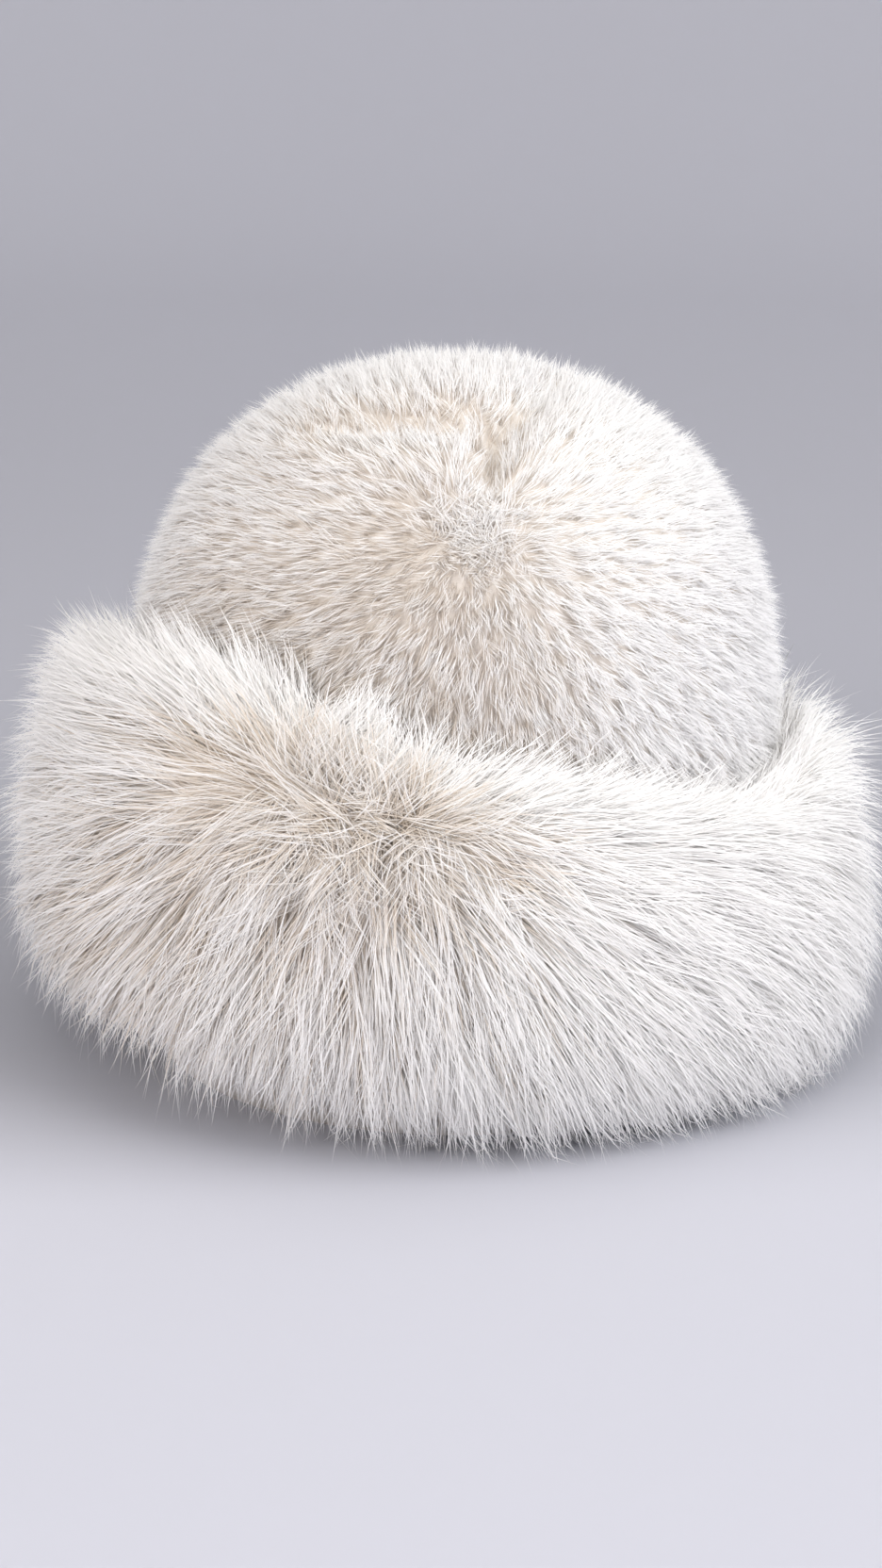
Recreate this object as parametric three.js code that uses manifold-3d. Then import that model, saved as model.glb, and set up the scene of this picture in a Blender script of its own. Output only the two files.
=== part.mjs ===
// A round fur hat with a domed crown of short fur and a deep turned-up cuff of long fur.
// Millimetres, +Z up, the front faces -Y, and the hat stands on its own opening at Z = 0.
import * as THREE from 'three';
import { mergeVertices } from 'three/addons/utils/BufferGeometryUtils.js';
import Module from 'manifold-3d';

const wasm = await Module();
wasm.setup();

// Head and crown.
const headGirth = 572; // inside, round the opening
const hemWall = 7; // hide with its fur pressed flat under the cuff
const crownWall = 12; // hide with its short fur standing, at the widest
const topWall = 11; // the same at the top of the dome
const flare = 2.5; // the head hollow is this much wider at the dome's foot than at the hem
const springHeight = 118; // where the straight wall ends and the dome begins
const domeRise = 107.5; // from there to the top
const domeFullness = 2.15; // 2 is an ellipse, more is squarer in the shoulders
const crownShift = 4.5; // the crown stands this far to the right of the cuff's middle

// Cuff.
const cuffDepth = 36.46; // from the crown's widest to the outermost tips of the cuff's locks
const tipLift = 4; // how far the tips of the locks stand off the fur under them
const crestDrop = 9; // from the cuff's crest down to where it touches the crown
const soleWidth = 4; // the cuff's flat edge at the opening is at least this wide
const fit = 0.45; // between the crown and the cuff

// How finely the surfaces are divided.
const sectors = 56;
const domeRows = 16;
const wallRows = 3;
const hollowRows = 7;
const profileRows = 11;

const innerRadius = headGirth / (2 * Math.PI);
const hemRadius = innerRadius + hemWall;
const crownRadius = innerRadius + flare + crownWall;
const hatHeight = springHeight + domeRise;
const cuffReach = crownRadius + cuffDepth; // from the middle to the outermost tips
const bodyReach = cuffReach - tipLift;
const spring = new THREE.Vector3(crownShift, 0, springHeight);
const up = new THREE.Vector3(0, 0, 1);
const radians = THREE.MathUtils.degToRad;

// Dents (sink > 0) and swellings (sink < 0) of the crown, each along a path of [azimuth, elevation] in
// degrees seen from the middle of the dome's foot. Sink and width are shares of the crown's radius.
const folds = [
  { name: 'crease', path: [[5, 44], [9, 52], [17, 61], [40, 69], [95, 73]], sink: 0.075, width: 0.085 },
  { name: 'whorl', path: [[6, 40]], sink: 0.045, width: 0.11 },
  { name: 'hollow', path: [[-34, 64], [2, 65]], sink: 0.085, width: 0.11 },
  { name: 'brow', path: [[-42, 53], [-4, 55]], sink: -0.045, width: 0.12 },
  { name: 'right lobe', path: [[38, 56], [52, 38]], sink: -0.04, width: 0.3 },
  { name: 'left shoulder', path: [[-62, 52], [-66, 42]], sink: -0.018, width: 0.34 },
  { name: 'front swell', path: [[-14, 18], [16, 16]], sink: -0.02, width: 0.26 },
];

// The cuff's section every 30 degrees, clockwise from the back as seen from above. Ridge, waist and lift
// are heights as shares of the hat's height; crest, belly and foot are radii as shares of the body's reach.
const sections = [
  { azimuth: -180, ridge: 0.478, crest: 0.81, belly: 1.0, waist: 0.235, foot: 0.8, lift: 0.035 },
  { azimuth: -150, ridge: 0.486, crest: 0.81, belly: 0.998, waist: 0.24, foot: 0.785, lift: 0.04 },
  { azimuth: -120, ridge: 0.508, crest: 0.81, belly: 0.994, waist: 0.25, foot: 0.765, lift: 0.05 },
  { azimuth: -90, ridge: 0.574, crest: 0.812, belly: 0.995, waist: 0.262, foot: 0.75, lift: 0.066 },
  { azimuth: -60, ridge: 0.626, crest: 0.812, belly: 0.994, waist: 0.266, foot: 0.752, lift: 0.074 },
  { azimuth: -30, ridge: 0.63, crest: 0.818, belly: 0.99, waist: 0.255, foot: 0.768, lift: 0.06 },
  { azimuth: 0, ridge: 0.552, crest: 0.822, belly: 0.992, waist: 0.237, foot: 0.79, lift: 0.036 },
  { azimuth: 30, ridge: 0.484, crest: 0.83, belly: 1.0, waist: 0.205, foot: 0.83, lift: 0.026 },
  { azimuth: 60, ridge: 0.42, crest: 0.846, belly: 1.01, waist: 0.18, foot: 0.885, lift: 0.018 },
  { azimuth: 90, ridge: 0.444, crest: 0.856, belly: 1.01, waist: 0.18, foot: 0.89, lift: 0.02 },
  { azimuth: 120, ridge: 0.436, crest: 0.836, belly: 1.006, waist: 0.2, foot: 0.86, lift: 0.024 },
  { azimuth: 150, ridge: 0.456, crest: 0.815, belly: 1.002, waist: 0.22, foot: 0.825, lift: 0.03 },
];

// The parting in the cuff's fur: its path in [azimuth in degrees, share of the way from ridge to foot].
const parting = { path: [[-25, 0.2], [-4, 0.22]], sink: 6, width: 15 };

// How the long fur lies every 30 degrees from the back: degrees that it leans sideways from straight down
// the section (positive to the right), at the crest and at the foot.
const leans = [
  { azimuth: -180, crest: -14, foot: -8 },
  { azimuth: -150, crest: -34, foot: -20 },
  { azimuth: -120, crest: -50, foot: -30 },
  { azimuth: -90, crest: -58, foot: -34 },
  { azimuth: -60, crest: -60, foot: -32 },
  { azimuth: -30, crest: -40, foot: -16 },
  { azimuth: 0, crest: 6, foot: 0 },
  { azimuth: 30, crest: 34, foot: 12 },
  { azimuth: 60, crest: 40, foot: 22 },
  { azimuth: 90, crest: 36, foot: 24 },
  { azimuth: 120, crest: 26, foot: 16 },
  { azimuth: 150, crest: 8, foot: 4 },
];

// Rows of locks: where they start on the section (0 ridge, 1 foot), how many, and their length, width and
// thickness as shares of the cuff's reach. Stand turns them from lying on the fur (0) to upright (1).
const lockRows = [
  { name: 'crest', start: 0.03, count: 36, length: 0.12, width: 0.15, thickness: 0.085, stand: 0.6 },
  { name: 'shoulder', start: 0.08, count: 20, length: 0.46, width: 0.26, thickness: 0.07, stand: 0 },
  { name: 'belly', start: 0.36, count: 22, length: 0.44, width: 0.25, thickness: 0.07, stand: 0 },
  { name: 'fringe', start: 0.64, count: 27, length: 0.36, width: 0.21, thickness: 0.07, stand: 0 },
];

// Width of a lock from its root to just before its tip, as shares of its full width: one that lies on the
// fur and one that stands up from it.
const lyingBlade = [0.55, 1, 0.8];
const standingBlade = [1, 0.82, 0.5];

// Value of one column of a table with a row every 30 degrees, smoothly between the rows.
function around(table, column, azimuth) {
  const step = 360 / table.length;
  const place = (azimuth - table[0].azimuth) / step;
  const first = Math.floor(place);
  const t = place - first;
  const at = (index) => table[THREE.MathUtils.euclideanModulo(index, table.length)][column];
  const [a, b, c, d] = [at(first - 1), at(first), at(first + 1), at(first + 2)];
  return b + 0.5 * t * (c - a + t * (2 * a - 5 * b + 4 * c - d + t * (3 * (b - c) + d - a)));
}

// Unit vector at an azimuth (0 front, 90 right) and an elevation, both in degrees.
function direction(azimuth, elevation) {
  const flat = Math.cos(radians(elevation));
  return new THREE.Vector3(
    flat * Math.sin(radians(azimuth)),
    -flat * Math.cos(radians(azimuth)),
    Math.sin(radians(elevation)),
  );
}

// Distance from a point to a path of points.
function distanceToPath(point, path) {
  if (path.length === 1) {
    return point.distanceTo(path[0]);
  }
  const nearest = new THREE.Vector3();
  let best = Infinity;
  for (let i = 1; i < path.length; i += 1) {
    new THREE.Line3(path[i - 1], path[i]).closestPointToPoint(point, true, nearest);
    best = Math.min(best, point.distanceTo(nearest));
  }
  return best;
}

// How far all the folds move the crown's surface outwards in a direction.
function foldHeight(way) {
  const point = way.clone().multiplyScalar(crownRadius);
  let height = 0;
  for (const fold of folds) {
    const path = fold.path.map(([azimuth, elevation]) => direction(azimuth, elevation).multiplyScalar(crownRadius));
    const distance = distanceToPath(point, path) / (fold.width * crownRadius);
    height -= fold.sink * crownRadius * Math.exp(-distance * distance);
  }
  return height;
}

// A point of the dome: radius and rise are the half width and the height of its outline.
function domePoint(azimuth, elevation, radius, rise, foldShare) {
  const way = direction(azimuth, elevation);
  const flat = Math.cos(radians(elevation)) / radius;
  const tall = Math.sin(radians(elevation)) / rise;
  const reach = (flat ** domeFullness + tall ** domeFullness) ** (-1 / domeFullness);
  return way.clone().multiplyScalar(reach + foldShare * foldHeight(way)).add(spring);
}

// Radius of the crown's outside at a height, without its folds.
function crownRadiusAt(height) {
  if (height <= springHeight) {
    return hemRadius + (crownRadius - hemRadius) * Math.sin(0.5 * Math.PI * (height / springHeight));
  }
  const tall = Math.min(1, (height - springHeight) / domeRise);
  return crownRadius * (1 - tall ** domeFullness) ** (1 / domeFullness);
}

// A ring of points, one for each sector.
function ring(pointAt) {
  return Array.from({ length: sectors }, (_, i) => pointAt((360 * i) / sectors - 180));
}

// Indexed geometry from a list of points and triangles.
function geometryOf(points, triangles) {
  const geometry = new THREE.BufferGeometry();
  geometry.setAttribute('position', new THREE.Float32BufferAttribute(points.flatMap((p) => [p.x, p.y, p.z]), 3));
  geometry.setIndex(triangles);
  return geometry;
}

// Triangles of the band between two neighbouring rings of the same size. A ring turns to the left as seen
// from outside its start, and the next ring lies further on.
function bandTriangles(first, second, size) {
  const triangles = [];
  for (let i = 0; i < size; i += 1) {
    const j = (i + 1) % size;
    triangles.push(first + i, second + j, first + j, first + i, second + i, second + j);
  }
  return triangles;
}

// Closed surface through rings, with a point that closes each end.
function cappedGeometry(start, rings, end) {
  const size = rings[0].length;
  const points = [start, ...rings.flat(), end];
  const triangles = [];
  for (let i = 0; i < size; i += 1) {
    triangles.push(0, 1 + i, 1 + ((i + 1) % size));
  }
  for (let row = 0; row < rings.length - 1; row += 1) {
    triangles.push(...bandTriangles(1 + row * size, 1 + (row + 1) * size, size));
  }
  const base = 1 + (rings.length - 1) * size;
  for (let i = 0; i < size; i += 1) {
    triangles.push(base + ((i + 1) % size), base + i, points.length - 1);
  }
  return geometryOf(points, triangles);
}

// Closed surface through rings that come back to the first one.
function loopedGeometry(rings) {
  const size = rings[0].length;
  const triangles = [];
  for (let row = 0; row < rings.length; row += 1) {
    triangles.push(...bandTriangles(row * size, ((row + 1) % rings.length) * size, size));
  }
  return geometryOf(rings.flat(), triangles);
}

// A point of the crown's upright wall, which takes over the folds at the dome's foot and loses them downwards.
function wallPoint(azimuth, radius, height, foldShare) {
  const fold = foldShare * foldHeight(direction(azimuth, 0)) * Math.max(0, height / springHeight);
  const point = direction(azimuth, 0).multiplyScalar(radius + fold);
  return point.add(new THREE.Vector3(crownShift, 0, height));
}

// The crown's outside grown by a distance, as rings from near its top down to the height of its end.
function outsideRings(grow, end) {
  const rings = [];
  for (let row = domeRows; row > 0; row -= 1) {
    const elevation = (90 * row) / (domeRows + 1);
    rings.push(ring((azimuth) => domePoint(azimuth, elevation, crownRadius + grow, domeRise + grow, 1)));
  }
  for (let row = wallRows; row > 0; row -= 1) {
    const height = (springHeight * row) / wallRows;
    rings.push(ring((azimuth) => wallPoint(azimuth, crownRadiusAt(height) + grow, height, 1)));
  }
  rings.push(ring((azimuth) => wallPoint(azimuth, hemRadius + grow, end, 1)));
  return rings;
}

// The crown: its outside from the top down to the hem, then the head hollow from the hem up to its top.
function crownGeometry() {
  const rings = outsideRings(0, 0);
  for (let row = 0; row <= wallRows; row += 1) {
    const height = (springHeight * row) / wallRows;
    const radius = innerRadius + flare * Math.sin(0.5 * Math.PI * (row / wallRows));
    rings.push(ring((azimuth) => wallPoint(azimuth, radius, height, 0.7)));
  }
  const hollowRadius = innerRadius + flare;
  const hollowRise = domeRise - topWall;
  for (let row = 1; row <= hollowRows; row += 1) {
    const elevation = (90 * row) / (hollowRows + 1);
    rings.push(ring((azimuth) => domePoint(azimuth, elevation, hollowRadius, hollowRise, 0.7)));
  }
  const top = domePoint(0, 90, crownRadius, domeRise, 1);
  const hollowTop = domePoint(0, 90, hollowRadius, hollowRise, 0.7);
  return cappedGeometry(top, rings, hollowTop);
}

// Radius, from the cuff's middle, of the crown's outside at an azimuth and a height.
function seatRadius(azimuth, height) {
  const radius = crownRadiusAt(height);
  const side = crownShift * Math.sin(radians(azimuth));
  const ahead = crownShift * Math.cos(radians(azimuth));
  return side + Math.sqrt(radius * radius - ahead * ahead);
}

// A point of the cuff's outside without its parting: along runs from 0 at the ridge to 1 at the foot.
function rollPoint(azimuth, along) {
  const share = (column) => around(sections, column, azimuth);
  const waist = share('waist') * hatHeight;
  const upper = along < 0.5;
  const end = (upper ? share('crest') : share('foot')) * bodyReach;
  const drop = upper ? share('ridge') * hatHeight - waist : waist - share('lift') * hatHeight;
  const swing = Math.PI * along;
  const radius = end + (share('belly') * bodyReach - end) * Math.sin(swing);
  const point = direction(azimuth, 0).multiplyScalar(radius);
  return point.setZ(waist + drop * Math.cos(swing));
}

// Outward normal of the cuff's outside.
function rollNormal(azimuth, along) {
  const a = Math.min(0.98, Math.max(0.02, along));
  const round = rollPoint(azimuth + 0.5, a).sub(rollPoint(azimuth - 0.5, a));
  const down = rollPoint(azimuth, a + 0.01).sub(rollPoint(azimuth, a - 0.01));
  return down.cross(round).normalize();
}

// A point of the cuff's outside with its parting, lifted off the surface.
function cuffPoint(azimuth, along, lift) {
  const point = rollPoint(azimuth, along);
  const path = parting.path.map(([a, s]) => rollPoint(a, s));
  const distance = distanceToPath(point, path) / parting.width;
  const height = lift - parting.sink * Math.exp(-distance * distance);
  return point.addScaledVector(rollNormal(azimuth, along), height);
}

// The cuff's body: over the top from the crown to the ridge, down the outside to the foot, along the floor
// and up inside the crown's wall, which later cuts it to fit.
function cuffBody() {
  const ridge = (azimuth) => around(sections, 'ridge', azimuth) * hatHeight;
  const crest = (azimuth) => around(sections, 'crest', azimuth) * bodyReach;
  const seat = (azimuth, share) => {
    const height = share * (ridge(azimuth) - crestDrop);
    return direction(azimuth, 0).multiplyScalar(seatRadius(azimuth, height) - 3).setZ(height);
  };
  const lip = (azimuth, swing) => {
    const low = seat(azimuth, 1);
    const near = Math.hypot(low.x, low.y);
    const radius = near + (crest(azimuth) - near) * (1 - Math.cos(radians(swing)));
    const height = low.z + crestDrop * Math.sin(radians(swing));
    return direction(azimuth, 0).multiplyScalar(radius).setZ(height);
  };
  const sole = (azimuth) => {
    const lift = around(sections, 'lift', azimuth) * hatHeight;
    const radius = around(sections, 'foot', azimuth) * bodyReach - lift;
    return direction(azimuth, 0).multiplyScalar(Math.max(radius, seatRadius(azimuth, 0) + soleWidth)).setZ(0);
  };
  const rings = [
    ring((azimuth) => lip(azimuth, 0)),
    ring((azimuth) => lip(azimuth, 50)),
  ];
  for (let row = 0; row <= profileRows; row += 1) {
    rings.push(ring((azimuth) => {
      const point = cuffPoint(azimuth, row / profileRows, 0);
      return point.setZ(Math.max(0.6, point.z));
    }));
  }
  rings.push(ring(sole));
  rings.push(ring((azimuth) => seat(azimuth, 0)));
  return loopedGeometry(rings);
}

// One lock: a flattened blade that starts in the fur and tapers to a tip that stands off it.
function lockGeometry(row, azimuth, unevenness) {
  const length = row.length * cuffReach * (1 + 0.16 * unevenness);
  const blade = row.stand > 0 ? standingBlade : lyingBlade;
  const stride = length / blade.length;
  const middles = [];
  let a = azimuth;
  let s = row.start + 0.03 * unevenness;
  for (let i = 0; i <= blade.length; i += 1) {
    const t = i / blade.length;
    const lift = THREE.MathUtils.lerp(-0.5 * row.thickness * cuffReach, tipLift, t ** 1.2);
    middles.push(cuffPoint(a, Math.min(s, 0.985), lift));
    const lean = radians(THREE.MathUtils.lerp(around(leans, 'crest', a), around(leans, 'foot', a), s));
    const here = rollPoint(a, s);
    const span = here.distanceTo(rollPoint(a, s + 0.02)) / 0.02;
    a += THREE.MathUtils.radToDeg((stride * Math.sin(lean)) / Math.hypot(here.x, here.y));
    s += (stride * Math.cos(lean)) / span;
  }
  const face = rollNormal(azimuth, row.start);
  if (row.stand > 0) {
    const lying = middles[1].clone().sub(middles[0]).normalize();
    const rise = lying.lerp(up, row.stand + 0.12 * unevenness).normalize();
    for (let i = 1; i <= blade.length; i += 1) {
      middles[i] = middles[i - 1].clone().addScaledVector(rise, stride);
    }
    face.copy(direction(azimuth, 0));
  }
  const rings = blade.map((share, i) => {
    const along = middles[i + 1].clone().sub(middles[i]).normalize();
    const outward = row.stand > 0 ? face : rollNormal(azimuth, Math.min(0.95, row.start + 0.1 * i));
    const side = outward.clone().cross(along).normalize().multiplyScalar(0.5 * row.width * cuffReach * share);
    const high = along.clone().cross(side).normalize().multiplyScalar(0.5 * row.thickness * cuffReach * share);
    const at = (u, v) => middles[i].clone().addScaledVector(side, u).addScaledVector(high, v);
    return [at(1, 0), at(0, -1), at(-1, 0), at(0, 1)];
  });
  return cappedGeometry(middles[0], rings, middles[blade.length]);
}

// A closed geometry as a solid, and a solid as a geometry.
function solidOf(geometry) {
  const merged = mergeVertices(geometry, 1e-4);
  return new wasm.Manifold(new wasm.Mesh({
    numProp: 3,
    vertProperties: new Float32Array(merged.attributes.position.array),
    triVerts: new Uint32Array(merged.index.array),
  }));
}

function geometryFrom(solid) {
  const mesh = solid.getMesh();
  const geometry = new THREE.BufferGeometry();
  geometry.setAttribute('position', new THREE.BufferAttribute(new Float32Array(mesh.vertProperties), 3));
  geometry.setIndex(new THREE.BufferAttribute(new Uint32Array(mesh.triVerts), 1));
  return geometry;
}

// Everything inside the crown's outline and the fit round it, which the cuff keeps out of.
function keepOut() {
  const rings = outsideRings(fit, -10);
  const top = domePoint(0, 90, crownRadius + fit, domeRise + fit, 1);
  return cappedGeometry(top, rings, new THREE.Vector3(crownShift, 0, -10));
}

// The cuff: its body with all the locks joined on, clear of the crown and of the floor.
function cuffGeometry() {
  const locks = [];
  lockRows.forEach((row, rank) => {
    for (let i = 0; i < row.count; i += 1) {
      const azimuth = (360 * (i + 0.5 * (rank % 2))) / row.count - 180;
      const unevenness = Math.sin(12.9 * i + 4.1 * rank);
      locks.push(solidOf(lockGeometry(row, azimuth + 2.5 * unevenness, unevenness)));
    }
  });
  const raised = wasm.Manifold.union(locks).trimByPlane([0, 0, 1], 0.3);
  return geometryFrom(solidOf(cuffBody()).add(raised).subtract(solidOf(keepOut())));
}

const fur = { color: 0xefeae3, roughness: 0.95, metalness: 0 };
const crown = new THREE.Mesh(crownGeometry(), new THREE.MeshStandardMaterial(fur));
crown.name = 'crown';
const cuff = new THREE.Mesh(cuffGeometry(), new THREE.MeshStandardMaterial(fur));
cuff.name = 'cuff';

const hat = new THREE.Group();
hat.add(crown, cuff);
export default hat;
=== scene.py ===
"""A white cossack hat of fur on a pale studio floor.

The hat is a domed crown of short fur in a deep turned-up cuff of long fur. Each has a shell, with the
underfur on its outside, and a coat of hairs in locks. Lengths are millimetres where nothing else is said;
meshes are in metres.
"""
import logging
import math
from abc import ABC, abstractmethod
from dataclasses import dataclass
from enum import Enum
from typing import Sequence

import bpy
import numpy as np
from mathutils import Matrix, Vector


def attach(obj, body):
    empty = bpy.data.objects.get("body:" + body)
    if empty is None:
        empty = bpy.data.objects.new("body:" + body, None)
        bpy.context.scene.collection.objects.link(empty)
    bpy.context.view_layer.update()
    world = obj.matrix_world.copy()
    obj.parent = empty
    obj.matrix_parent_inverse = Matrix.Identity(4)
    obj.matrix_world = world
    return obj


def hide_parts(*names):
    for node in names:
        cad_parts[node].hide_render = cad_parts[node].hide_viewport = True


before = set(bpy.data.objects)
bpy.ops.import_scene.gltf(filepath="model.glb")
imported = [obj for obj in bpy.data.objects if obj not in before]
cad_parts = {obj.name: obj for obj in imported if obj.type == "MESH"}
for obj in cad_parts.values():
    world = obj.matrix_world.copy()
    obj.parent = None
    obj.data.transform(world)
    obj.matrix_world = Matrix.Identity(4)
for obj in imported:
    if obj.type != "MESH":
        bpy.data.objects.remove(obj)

log = logging.getLogger("hat")
METRE = 0.001
UP = np.array([0.0, 0.0, 1.0])
# Height that hair keeps above the floor.
FLOOR_GAP = 0.6
# Steps, in shares of a square's two sides, that fill it evenly.
EVEN_STEPS = (0.7548776662, 0.5698402910)
# Where a colour mix node has its two colours and its result.
MIX_FIRST, MIX_SECOND, MIX_RESULT = 6, 7, 2
Path = tuple[tuple[float, float], ...]
Colour = tuple[float, float, float]


class Slot(Enum):
    """Material slots of the hat."""

    SHORT_FUR = "short_fur"
    LONG_FUR = "long_fur"


class Node(Enum):
    """Solids that the pieces stand for."""

    CROWN = "crown"
    CUFF = "cuff"


@dataclass(frozen=True)
class HatSizes:
    """The hat's driving sizes in millimetres."""

    head_girth: float = 572.0
    hem_wall: float = 7.0
    crown_wall: float = 12.0
    top_wall: float = 11.0
    flare: float = 2.5
    spring_height: float = 118.0
    dome_rise: float = 107.5
    fullness: float = 2.15
    crown_shift: float = 4.5
    cuff_depth: float = 36.46
    tip_lift: float = 4.0
    crest_drop: float = 9.0
    fit: float = 0.45

    @property
    def inner_radius(self) -> float:
        """Radius of the head hollow at the opening."""
        return self.head_girth / (2.0 * math.pi)

    @property
    def hem_radius(self) -> float:
        """Outer radius of the crown's wall at the opening."""
        return self.inner_radius + self.hem_wall

    @property
    def crown_radius(self) -> float:
        """Outer radius of the crown at its widest."""
        return self.inner_radius + self.flare + self.crown_wall

    @property
    def hat_height(self) -> float:
        """Height of the whole hat."""
        return self.spring_height + self.dome_rise

    @property
    def cuff_reach(self) -> float:
        """Distance from the middle to the outermost tips of the cuff's locks."""
        return self.crown_radius + self.cuff_depth

    @property
    def body_reach(self) -> float:
        """Reach of the cuff's fur without the lifted tips."""
        return self.cuff_reach - self.tip_lift

    @property
    def spring(self) -> np.ndarray:
        """Middle of the dome's foot."""
        return np.array([self.crown_shift, 0.0, self.spring_height])


SIZES = HatSizes()


@dataclass(frozen=True)
class Fold:
    """A dent (sink above 0) or swelling of the crown along a path of azimuths and elevations in degrees."""

    name: str
    path: Path
    sink: float
    width: float


FOLDS = (
    Fold("crease", ((10, 53), (13, 58), (17, 61), (40, 69), (95, 73)), 0.06, 0.07),
    Fold("whorl", ((6, 40),), 0.012, 0.12),
    Fold("hollow", ((-34, 64), (2, 65)), 0.068, 0.12),
    Fold("brow", ((-42, 53), (-4, 55)), -0.045, 0.12),
    Fold("right lobe", ((38, 56), (52, 38)), -0.04, 0.3),
    Fold("left shoulder", ((-62, 52), (-66, 42)), -0.018, 0.34),
    Fold("front swell", ((-14, 18), (16, 16)), -0.02, 0.26),
    Fold("seam", ((7, 50), (10, 56), (13, 62), (20, 65), (30, 68)), 0.034, 0.034),
)


@dataclass(frozen=True)
class Patch:
    """Cream on the crown along a path, the fur's own in some patches and painted shade in others: how much
    there is, and how many millimetres wide it is.
    """

    path: Path
    cream: float
    width: float


CREASE: Path = ((8, 52), (10, 56), (13, 62), (20, 65), (30, 68))
HOLLOW: Path = ((-46, 59), (-21, 66), (0, 67))
# Cream round the hollow and the whorl; along the crease and over the low front the cream is painted shade.
CREAM_AND_SHADE_PATCHES = (
    Patch(HOLLOW, 0.4, 12.0),
    Patch(((-6, 39),), 0.42, 24.0),
    # Painted shade: the dark line of the crease.
    Patch(CREASE, 0.8, 3.0),
    # Painted shade over the crown's low front.
    Patch(((-45, 18), (16, 10)), 0.42, 40.0),
)


@dataclass(frozen=True)
class Section:
    """The cuff's outline at one azimuth, in shares of the hat's height and of the cuff's reach."""

    azimuth: float
    ridge: float
    crest: float
    belly: float
    waist: float
    foot: float
    lift: float


SECTIONS = (
    Section(-180, 0.478, 0.81, 1.0, 0.235, 0.8, 0.035),
    Section(-150, 0.486, 0.81, 0.998, 0.24, 0.785, 0.04),
    Section(-120, 0.508, 0.81, 0.994, 0.25, 0.765, 0.05),
    Section(-90, 0.574, 0.812, 0.995, 0.262, 0.75, 0.066),
    Section(-60, 0.626, 0.812, 0.994, 0.266, 0.752, 0.074),
    Section(-30, 0.63, 0.818, 0.99, 0.255, 0.768, 0.06),
    Section(0, 0.552, 0.822, 0.992, 0.237, 0.79, 0.036),
    Section(30, 0.484, 0.83, 1.0, 0.205, 0.83, 0.026),
    Section(60, 0.42, 0.846, 1.01, 0.18, 0.885, 0.018),
    Section(90, 0.444, 0.856, 1.01, 0.18, 0.89, 0.02),
    Section(120, 0.436, 0.836, 1.006, 0.2, 0.86, 0.024),
    Section(150, 0.456, 0.815, 1.002, 0.22, 0.825, 0.03),
)


def unit(vectors: np.ndarray) -> np.ndarray:
    """Vectors scaled to length one along the last axis."""
    return vectors / np.maximum(np.linalg.norm(vectors, axis=-1, keepdims=True), 1e-9)


def direction(azimuth: np.ndarray, elevation: np.ndarray) -> np.ndarray:
    """Unit vectors from degrees round and up: cos(e) sin(a), -cos(e) cos(a) and sin(e)."""
    a, e = np.broadcast_arrays(np.radians(azimuth), np.radians(elevation))
    return np.stack([np.cos(e) * np.sin(a), -np.cos(e) * np.cos(a), np.sin(e)], -1)


def outward(azimuth: np.ndarray) -> np.ndarray:
    """Level unit vectors from degrees round from the front."""
    return direction(azimuth, np.zeros_like(azimuth))


def ways(path: Path) -> np.ndarray:
    """Unit vectors to the points of a path of azimuths and elevations."""
    return direction(*np.array(path, float).T)


def azimuths(count: int) -> np.ndarray:
    """Degrees of evenly spaced sectors all round."""
    return 360.0 * np.arange(count) / count - 180.0


def nearest_point(points: np.ndarray, path: np.ndarray) -> np.ndarray:
    """Place on a path that is nearest to each point.

    Args:
        points: array of shape (n, 3).
        path: array of shape (m, 3); a path of one point is a spot.

    Returns:
        For each point, its foot on the segment of the path that comes nearest.
    """
    if len(path) == 1:
        return np.broadcast_to(path[0], points.shape)
    starts, spans = path[:-1], np.diff(path, axis=0)
    offsets = points[:, None, :] - starts[None]
    shares = np.clip((offsets * spans).sum(-1) / (spans * spans).sum(-1), 0.0, 1.0)
    feet = starts[None] + shares[..., None] * spans
    best = np.linalg.norm(points[:, None, :] - feet, axis=-1).argmin(1)
    return np.take_along_axis(feet, best[:, None, None], 1)[:, 0]


def path_distance(points: np.ndarray, path: np.ndarray) -> np.ndarray:
    """Distance from each point to the nearest place on a path."""
    return np.linalg.norm(points - nearest_point(points, path), axis=-1)


def along_path(path: np.ndarray, count: int, rng: np.random.Generator) -> np.ndarray:
    """Chance places on a path.

    Args:
        path: array of its points.
        count: how many places.
        rng: source of chance.

    Returns:
        Array of places.
    """
    place = rng.uniform(0.0, len(path) - 1.0, count)
    first = np.minimum(place.astype(int), len(path) - 2)
    return path[first] + (path[first + 1] - path[first]) * (place - first)[:, None]


def smoothstep(low: float, high: float, value: np.ndarray) -> np.ndarray:
    """Soft step from 0 at low to 1 at high: 3 t^2 - 2 t^3 of the clipped share t."""
    t = np.clip((value - low) / (high - low), 0.0, 1.0)
    return t * t * (3.0 - 2.0 * t)


def bell(distance: np.ndarray, width: float) -> np.ndarray:
    """Soft hill: exp of minus the squared distance in widths."""
    return np.exp(-((distance / width) ** 2))


def around(name: str, azimuth: np.ndarray) -> np.ndarray:
    """One column of the cuff's sections, smoothly between them.

    Args:
        name: the column.
        azimuth: degrees from the front.

    Returns:
        The column by a cubic through the four nearest sections, which closes round the hat.
    """
    column = np.array([getattr(section, name) for section in SECTIONS])
    place = (np.asarray(azimuth) - SECTIONS[0].azimuth) * len(column) / 360.0
    first = np.floor(place).astype(int)
    t = place - first
    a, b, c, d = (column[(first + k) % len(column)] for k in (-1, 0, 1, 2))
    return b + 0.5 * t * (c - a + t * (2 * a - 5 * b + 4 * c - d + t * (3 * (b - c) + d - a)))


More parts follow.
